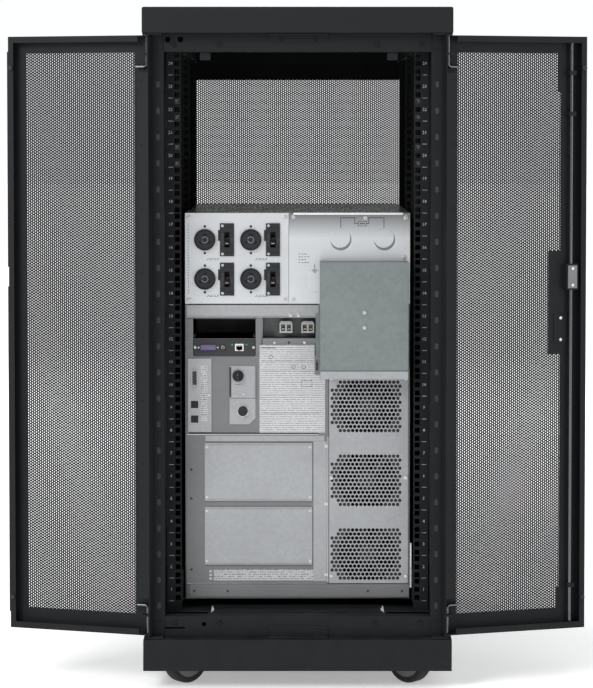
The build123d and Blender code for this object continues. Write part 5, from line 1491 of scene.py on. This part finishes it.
class RACK_OT_distribution(bpy.types.Operator):
    """Makes the distribution unit: case, panels, outlets, breakers, levers and wiring cover"""
    bl_idname = "rack.distribution"
    bl_label = "Distribution unit"

    def execute(self, context):
        folded("pdu_case", "cabinet", "case", 0.5)
        self.panels()
        self.outlets()
        self.breakers()
        self.cover()
        self.prints()
        return {"FINISHED"}

    def panels(self):
        """The outlet panel, and the wiring panel with pressed knockouts."""
        low, high = span("pdu_panels")
        seam = -17.0
        outlets = plate((low.x, low.y, low.z), (seam - 0.3, high.y, high.z))
        wiring = plate((seam + 0.3, low.y, low.z), (high.x, high.y, high.z))
        cut(outlets, *[rod((x, low.y - 1, z), (x, high.y + 1, z), 18.8, 40) for x, z in SOCKETS],
            *[plate((x - 5.5, low.y - 1, z - 15.5), (x + 5.5, high.y + 1, z + 15.5)) for x, z in BREAKERS])
        rings = []
        for x, z in KNOCKOUTS:
            ring = rod((x, low.y - 1, z), (x, low.y + 0.6, z), 22.5, 64)
            rings.append(cut(ring, rod((x, low.y - 2, z), (x, low.y + 2, z), 21.2, 64)))
        cut(wiring, *rings)
        for panel in (outlets, wiring):
            round_edges(panel, 0.3, 2, 50)
        give(outlets, "outlet_panel", "cabinet", "cards", ("pdu_panels",))
        # The wiring panel's finish carries a painted reflection: darker towards its top.
        give(wiring, "wiring_panel", "cabinet", "toned", ("pdu_panels",))
        crescents = []
        for x, z in KNOCKOUTS[:2]:
            dark = rod((x, low.y, z), (x, low.y - 0.15, z), 20.6, 48)
            cut(dark, rod((x - 1.5, low.y - 1, z + 4.0), (x - 1.5, low.y + 1, z + 4.0), 19.6, 48))
            crescents.append(dark)
        give(join(crescents), "knockout_shadows", "cabinet", "cover")
        # Painted highlight: a lip along the panel's top edge, its light grey standing in for the bright fold.
        lip = plate((-8, low.y - 1.4, high.z - 3.6), (high.x - 14, low.y + 3, high.z + 0.4), 0.35)
        give(lip, "wiring_panel_lip", "cabinet", "light_plastic")

    def outlets(self):
        """Round twist-lock outlets: rim, sunk face, three arc slots and a centre ring."""
        face = span("locking_sockets")[0].y
        bodies, rings = [], []
        for x, z in SOCKETS:
            body = rod((0, face, 0), (0, PANEL_Y, 0), 20.8, 56)
            terrace(body, REAR, (0.7, 0), (1.5, 0), (0.3, -4.0), (2.6, 0), (0.4, 3.0), (9.4, -0.3))
            slot = plate((-3.6, face - 2, 9.6), (3.6, face + 7, 12.0), 0.3)
            for turn in (0, 120, 240):
                cut(body, twin(slot, (0, 0, 0), Matrix.Rotation(math.radians(turn), 4, "Y")))
            cut(body, plate((1.8, face - 2, 7.8), (3.6, face + 7, 11.0)))
            bpy.data.objects.remove(slot)
            body = join([body, rod((0, PANEL_Y - 0.2, 0), (0, WALL_Y + 34, 0), 18.6, 40, 1.0)])
            body.data.transform(Matrix.Translation(mm(x, 0, z)))
            bodies.append(body)
            ring = rod((0, face + 0.4, 0), (0, face + 1.6, 0), 6.6, 36)
            cut(ring, rod((0, face - 1, 0), (0, face + 3, 0), 5.0, 36))
            cut(ring, plate((-7, face - 1, -1.6), (-3, face + 3, 1.6)))
            ring.data.transform(Matrix.Translation(mm(x, 0, z)))
            rings.append(ring)
        give(join(bodies), "locking_outlets", "cabinet", "black_plastic",
             ("locking_sockets",))
        give(join(rings), "outlet_centre_rings", "cabinet", "grey_plastic")

    def breakers(self):
        """Breakers with raised shoulders, a sunk lever slot, and levers that rock in it."""
        low, high = span("breaker_bodies")
        face = low.y
        bodies = []
        for x, z in BREAKERS:
            rear = plate((x - 13.0, WALL_Y + 0.2, z - 31), (x + 13.0, WALL_Y + 62, z + 31), 0.8)
            cut(rear, plate((x - 6.5, WALL_Y - 2, z - 19), (x + 6.5, WALL_Y + 14, z + 19)))
            bodies.append(rear)
            tab = plate((x - 17.4, PANEL_Y - 3.0, z - 2), (x - 13.0, PANEL_Y, z + 19), 0.5)
            for part in (plate((x - 13.7, face + 1.6, z - 32), (x + 13.7, high.y, z + 32), 0.8),
                         plate((x - 12.6, face, z - 24), (x + 12.6, face + 1.7, z + 24), 0.6)):
                cut(part, plate((x - 5, face - 2, z - 15), (x + 5, PANEL_Y + 14, z + 15), 0.5))
                bodies.append(part)
            bodies.append(tab)
        give(join(bodies), "breaker_cases", "cabinet", "black_plastic", ("breaker_bodies",))
        tags = []
        for x, z in BREAKERS:
            tags.append(decal(x - 11, x - 6.6, z - 12, z + 12, face))
            tags.append(decal(x + 7.4, x + 11, z - 8, z + 4, face))
        give(join(tags), "breaker_rating_tags", "cabinet", "dark_card")
        for number, (x, z) in enumerate(BREAKERS, 1):
            pivot = axis_of(f"breaker_{number}_throw")
            tilt = Matrix.Translation(mm(*pivot)) @ Matrix.Rotation(math.radians(22), 4, "X")
            stick = plate((-4.5, -18.5, -3), (4.5, 0, 3))
            shape(stick, outermost(stick, REAR), bpy.ops.mesh.inset, thickness=0.0012, depth=0.0)
            round_edges(stick, 1.1, 3, 40)
            lever = join([stick, rod((-4.5, 0, 0), (4.5, 0, 0), 6.0, 32, 0.4)])
            lever.data.transform(tilt)
            name = f"breaker_lever_{number}"
            give(lever, name + "_toggle", name, "black_plastic", (name,))
            mark = plate((-3.0, -18.55, -0.5), (3.0, -18.3, 0.5))
            inset(mark, REAR, 0.1)
            mark.data.transform(tilt)
            give(mark, name + "_mark", name, "paint")

    def cover(self):
        """The deep wiring cover with its folded lower flange and hem."""
        folded("wiring_cover", "cabinet", "cover", 0.7, 3)
        left, right, bottom = WIRING_X[0] + 0.6, WIRING_X[1] - 0.6, WIRING_Z[0]
        hem = plate((left, WIRING_Y - 0.6, bottom - 11.8), (right, WIRING_Y + 0.2, bottom + 3.2))
        inset(hem, REAR, 1.2, 0.3)
        round_edges(hem, 0.25, 2)
        give(hem, "wiring_cover_hem", "cabinet", "sheet")
        gap = decal(left, right, bottom + 3.4, bottom + 4.6, WIRING_Y)
        give(gap, "wiring_cover_fold_line", "cabinet", "ink")
        strip = plate((219.5, UPS_LOW.y + 1.5, UPS_BOTTOM + 22),
                      (223.0, UPS_LOW.y + 3, UPS_BOTTOM + 110), 0.3)
        give(strip, "support_rail_edge", "cabinet", "zinc")

    def prints(self):
        """Line work and small legends printed on the panels."""
        face = PANEL_Y
        low = UPS_TOP
        ink = []
        fuse_x = (118.2, 133.7)
        top, dip = low + 168.0, low + 155.5
        ink += line([(84.2, low + 149), (84.2, top), (111.3, top), (111.3, dip + 1), (fuse_x[0], dip + 1)],
                    face, 1.3)
        ink += line([(fuse_x[0], dip - 3.4), (fuse_x[1], dip - 3.4), (fuse_x[1], dip + 5.4),
                     (fuse_x[0], dip + 5.4), (fuse_x[0], dip - 3.4)], face, 0.9)
        ink += line([(fuse_x[1], dip + 1), (138.6, dip + 1), (138.6, top), (168.1, top), (168.1, low + 149)],
                    face, 1.3)
        ink += [rod((x, face - 0.2, dip + 1), (x, face, dip + 1), 1.4, 12) for x in (122.5, 126, 129.5)]
        ink += line([(33.4, low + 77), (33.4, low + 66)], face, 1.0)
        for number, half in enumerate((5.2, 3.4, 1.6)):
            z = low + 66 - 2.4 * number
            ink += line([(33.4 - half, z), (33.4 + half, z)], face, 1.0)
        z = low + 20
        while z < low + 158:
            ink.append(decal(-213.2, -212.2, z, z + 3.2, face, 0.12))
            z += 5.6
        for x, z in [(column, row) for column in (-165, -70.5) for row in (low + 15.5, low + 87)]:
            ink += [decal(x - 12 + 5 * n, x - 9 + 5 * n + (n % 2), z - 1.6, z - 0.6, face, 0.12)
                    for n in range(5)]
            ink += [decal(x - 10 + 6 * n, x - 6.5 + 6 * n, z + 1.0, z + 2.0, face, 0.12) for n in range(4)]
        for x, z in SOCKETS:
            ink += [rod((x, face - 0.5, z + way * 26), (x, face, z + way * 26), 2.6, 16) for way in (-1, 1)]
        for n in range(4):
            z = low + 80 + 5.6 * n
            ink += [decal(2 + 5.6 * k, 5.2 + 5.6 * k + (k + n) % 3 * 0.6, z, z + 1.2, face, 0.12)
                    for k in range(4 - n % 2)]
        give(join(ink), "panel_printing", "cabinet", "ink")


class RACK_OT_front_modules(bpy.types.Operator):
    """Makes the plug-in modules and the display bezel behind the front door"""
    bl_idname = "rack.front_modules"
    bl_label = "Front modules"

    def execute(self, context):
        self.bay("battery_modules", "grey_plastic")
        self.bay("power_modules", "black_plastic")
        self.display()
        return {"FINISHED"}

    def bay(self, name, finish):
        """Four module fronts with louvres, tags and thumbscrews."""
        low, high = span(name)
        face = MODULE_FACE
        module = welded(name)
        louvres = []
        for row in range(4):
            bottom = UPS_BOTTOM + 12 + row * 118
            for number in range(9):
                x = low.x + 14 + number * (high.x - low.x - 28) / 8
                for z1, z2 in ((bottom + 10, bottom + 38), (bottom + 76, bottom + 104)):
                    louvres.append(plate((x - 1.6, face - 1.6, z1), (x + 1.6, face + 3, z2)))
        cut(module, *louvres)
        round_edges(module, 0.8, 2, 50)
        give(module, name + "_fronts", "cabinet", finish, (name,))
        tags, turns = [], []
        for row in range(4):
            z = UPS_BOTTOM + 12 + row * 118 + 56
            tags.append(plate((low.x + 8, face, z - 5), (low.x + 40, face + 0.3, z + 5), 0.1))
            for x in (low.x + 7, high.x - 7):
                screw = rod((x, face, z - 48), (x, face + 4, z - 48), 4.2, 20, 0.5)
                cut(screw, plate((x - 3, face + 2.6, z - 48.6), (x + 3, face + 6, z - 47.4)))
                turns.append(screw)
        give(join(tags), name + "_tags", "cabinet", "legend")
        give(join(turns), name + "_thumbscrews", "cabinet", "zinc")

    def display(self):
        """The bezel with a sunk screen, four keys and a row of lamps."""
        low, high = span("display_panel")
        middle = (low.z + UPS_TOP) / 2
        face = MODULE_FACE + 18
        key_places = (90, 112, 134, 156)
        bezel = plate(low, (high.x, face, high.z))
        cut(bezel, plate((-60, face - 3, middle - 20), (60, face + 2, middle + 20)))
        cut(bezel, *[plate((x - 8.4, face - 1.2, middle - 5.4), (x + 8.4, face + 2, middle + 5.4))
                     for x in key_places])
        round_edges(bezel, 1.4, 3, 50)
        give(bezel, "display_bezel", "cabinet", "black_plastic", ("display_panel",))
        screen = plate((-56, face - 3, middle - 16.5), (56, face - 2.2, middle + 16.5), 0.3)
        give(screen, "display_screen", "cabinet", "screen")
        keys = [plate((x - 8, face - 1.4, middle - 5), (x + 8, face + 0.9, middle + 5), 0.8, 3)
                for x in key_places]
        give(join(keys), "display_keys", "cabinet", "grey_plastic")
        lamp = rod((0, face - 0.5, 0), (0, face + 0.8, 0), 2.2, 20, 0.5)
        lamps = repeat(lamp, [(-150 + 16 * number, 0, middle) for number in range(4)])
        give(lamps[0], "display_lamp_run", "cabinet", "lamp_green")
        give(join(lamps[1:]), "display_lamps", "cabinet", "lamp_amber")


class RACK_OT_fasteners(bpy.types.Operator):
    """Makes the cross-head screws of the rear panels and the front ears"""
    bl_idname = "rack.fasteners"
    bl_label = "Fasteners"

    def execute(self, context):
        top = span("pdu_panels")[1].z
        large, small = cross_screw(4.0, 2.2), cross_screw(2.8, 1.5)
        many, few = [], []
        for x in (-211, -24, -8, 212):
            for z in (UPS_TOP + 8.5, top - 8):
                if not (x > WIRING_X[0] and z < WIRING_Z[1]):
                    many.append((x, PANEL_Y, z))
        many += [(131.8, PANEL_Y, top - 9.6), (209.9, PANEL_Y, top - 9.6), (208.0, PANEL_Y, UPS_TOP + 91)]
        for x, z in BREAKERS:
            few += [(x - 8.6, span("breaker_bodies")[0].y + 1.6, z + way * 27.4) for way in (-1, 1)]
        for x in (CARD_X[0] + 4, CARD_X[1] - 4):
            few.append((x, PANEL_Y, sum(CARD_Z) / 2))
        for low, _ in COVER_HEIGHTS:
            for x in (COVER_X[0] + 4.5, COVER_X[1] - 4.5):
                few += [(x, PANEL_Y, low + 8), (x, PANEL_Y, low + 106.5)]
        fan_low, fan_high = span("fan_panel")
        for z in (fan_low.z + 14, (fan_low.z + fan_high.z) / 2 + 1, fan_high.z - 10):
            many += [(fan_high.x - 4.5, PANEL_Y, z), (fan_low.x + 4, PANEL_Y, z)]
        many += [(55.7, WALL_Y, UPS_BOTTOM + z) for z in (300.0, 186.0, 46.5)]
        few.append((SERVICE_X[0] + 27.6, PANEL_Y, SERVICE_SPLIT + 8))
        few.append((COMMS_X[1] - 5, PANEL_Y - 1.5, COMMS_Z[1] - 71.3))
        many += [(x, WALL_Y, UPS_TOP - 21.8) for x in (-13.7, 2.0)]
        few += [(-44.9, WALL_Y, UPS_TOP - 75.5), (13.7, WALL_Y, UPS_TOP - 75.5)]
        many += [((WIRING_X[0] + WIRING_X[1]) / 2, WIRING_Y, WIRING_Z[1] - 97 - drop) for drop in (0, 29)]
        big, little = join(repeat(large, many)), join(repeat(small, few))
        ear = cross_screw(5.0, 3.0)
        ear.data.transform(Matrix.Rotation(math.pi, 4, "Z"))
        spots = [(side * HOLE_COLUMN, UPS_HIGH.y, UPS_BOTTOM + (unit + 0.5) * UNIT)
                 for side in (-1, 1) for unit in (0, 4, 8, 12)]
        give(join([big, little, *repeat(ear, spots)]), "panel_cross_screws", "cabinet", "zinc",
             ("panel_screws",))
        return {"FINISHED"}


class RACK_PT_sidebar(bpy.types.Panel):
    """Lists the pieces and their settings"""
    bl_idname = "RACK_PT_sidebar"
    bl_label = "Rack enclosure"
    bl_space_type = "VIEW_3D"
    bl_region_type = "UI"
    bl_category = "Rack"

    def draw(self, context):
        layout = self.layout
        for group_name in ("rack_finish", "rack_sheet", "rack_stage"):
            settings = getattr(context.scene, group_name)
            box = layout.box()
            for key in settings.__annotations__:
                box.prop(settings, key)
        for operator in ORDER:
            layout.operator(operator.bl_idname)


SETTINGS = (RackFinishSettings, RackSheetSettings, RackStageSettings)
ORDER = (RACK_OT_finishes, RACK_OT_stage, RACK_OT_enclosure, RACK_OT_rails, RACK_OT_door_hardware,
         RACK_OT_castors, RACK_OT_ups_case, RACK_OT_ups_cards, RACK_OT_fans, RACK_OT_distribution,
         RACK_OT_front_modules, RACK_OT_fasteners, RACK_OT_rear_doors, RACK_OT_front_door)


def register():
    for cls in (*SETTINGS, *ORDER, RACK_PT_sidebar):
        bpy.utils.register_class(cls)
    bpy.types.Scene.rack_finish = bpy.props.PointerProperty(type=RackFinishSettings)
    bpy.types.Scene.rack_sheet = bpy.props.PointerProperty(type=RackSheetSettings)
    bpy.types.Scene.rack_stage = bpy.props.PointerProperty(type=RackStageSettings)


def unregister():
    for name in ("rack_finish", "rack_sheet", "rack_stage"):
        delattr(bpy.types.Scene, name)
    for cls in reversed((*SETTINGS, *ORDER, RACK_PT_sidebar)):
        bpy.utils.unregister_class(cls)


def main():
    register()
    for operator in ORDER:
        area, step = operator.bl_idname.split(".")
        if getattr(getattr(bpy.ops, area), step)() != {"FINISHED"}:
            raise RuntimeError(f"{operator.bl_label} did not finish")
    boxes = {"cad": [list(corner) for corner in CAD_BOX], "visual": [list(corner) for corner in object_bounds()]}


if __name__ == "__main__":
    main()
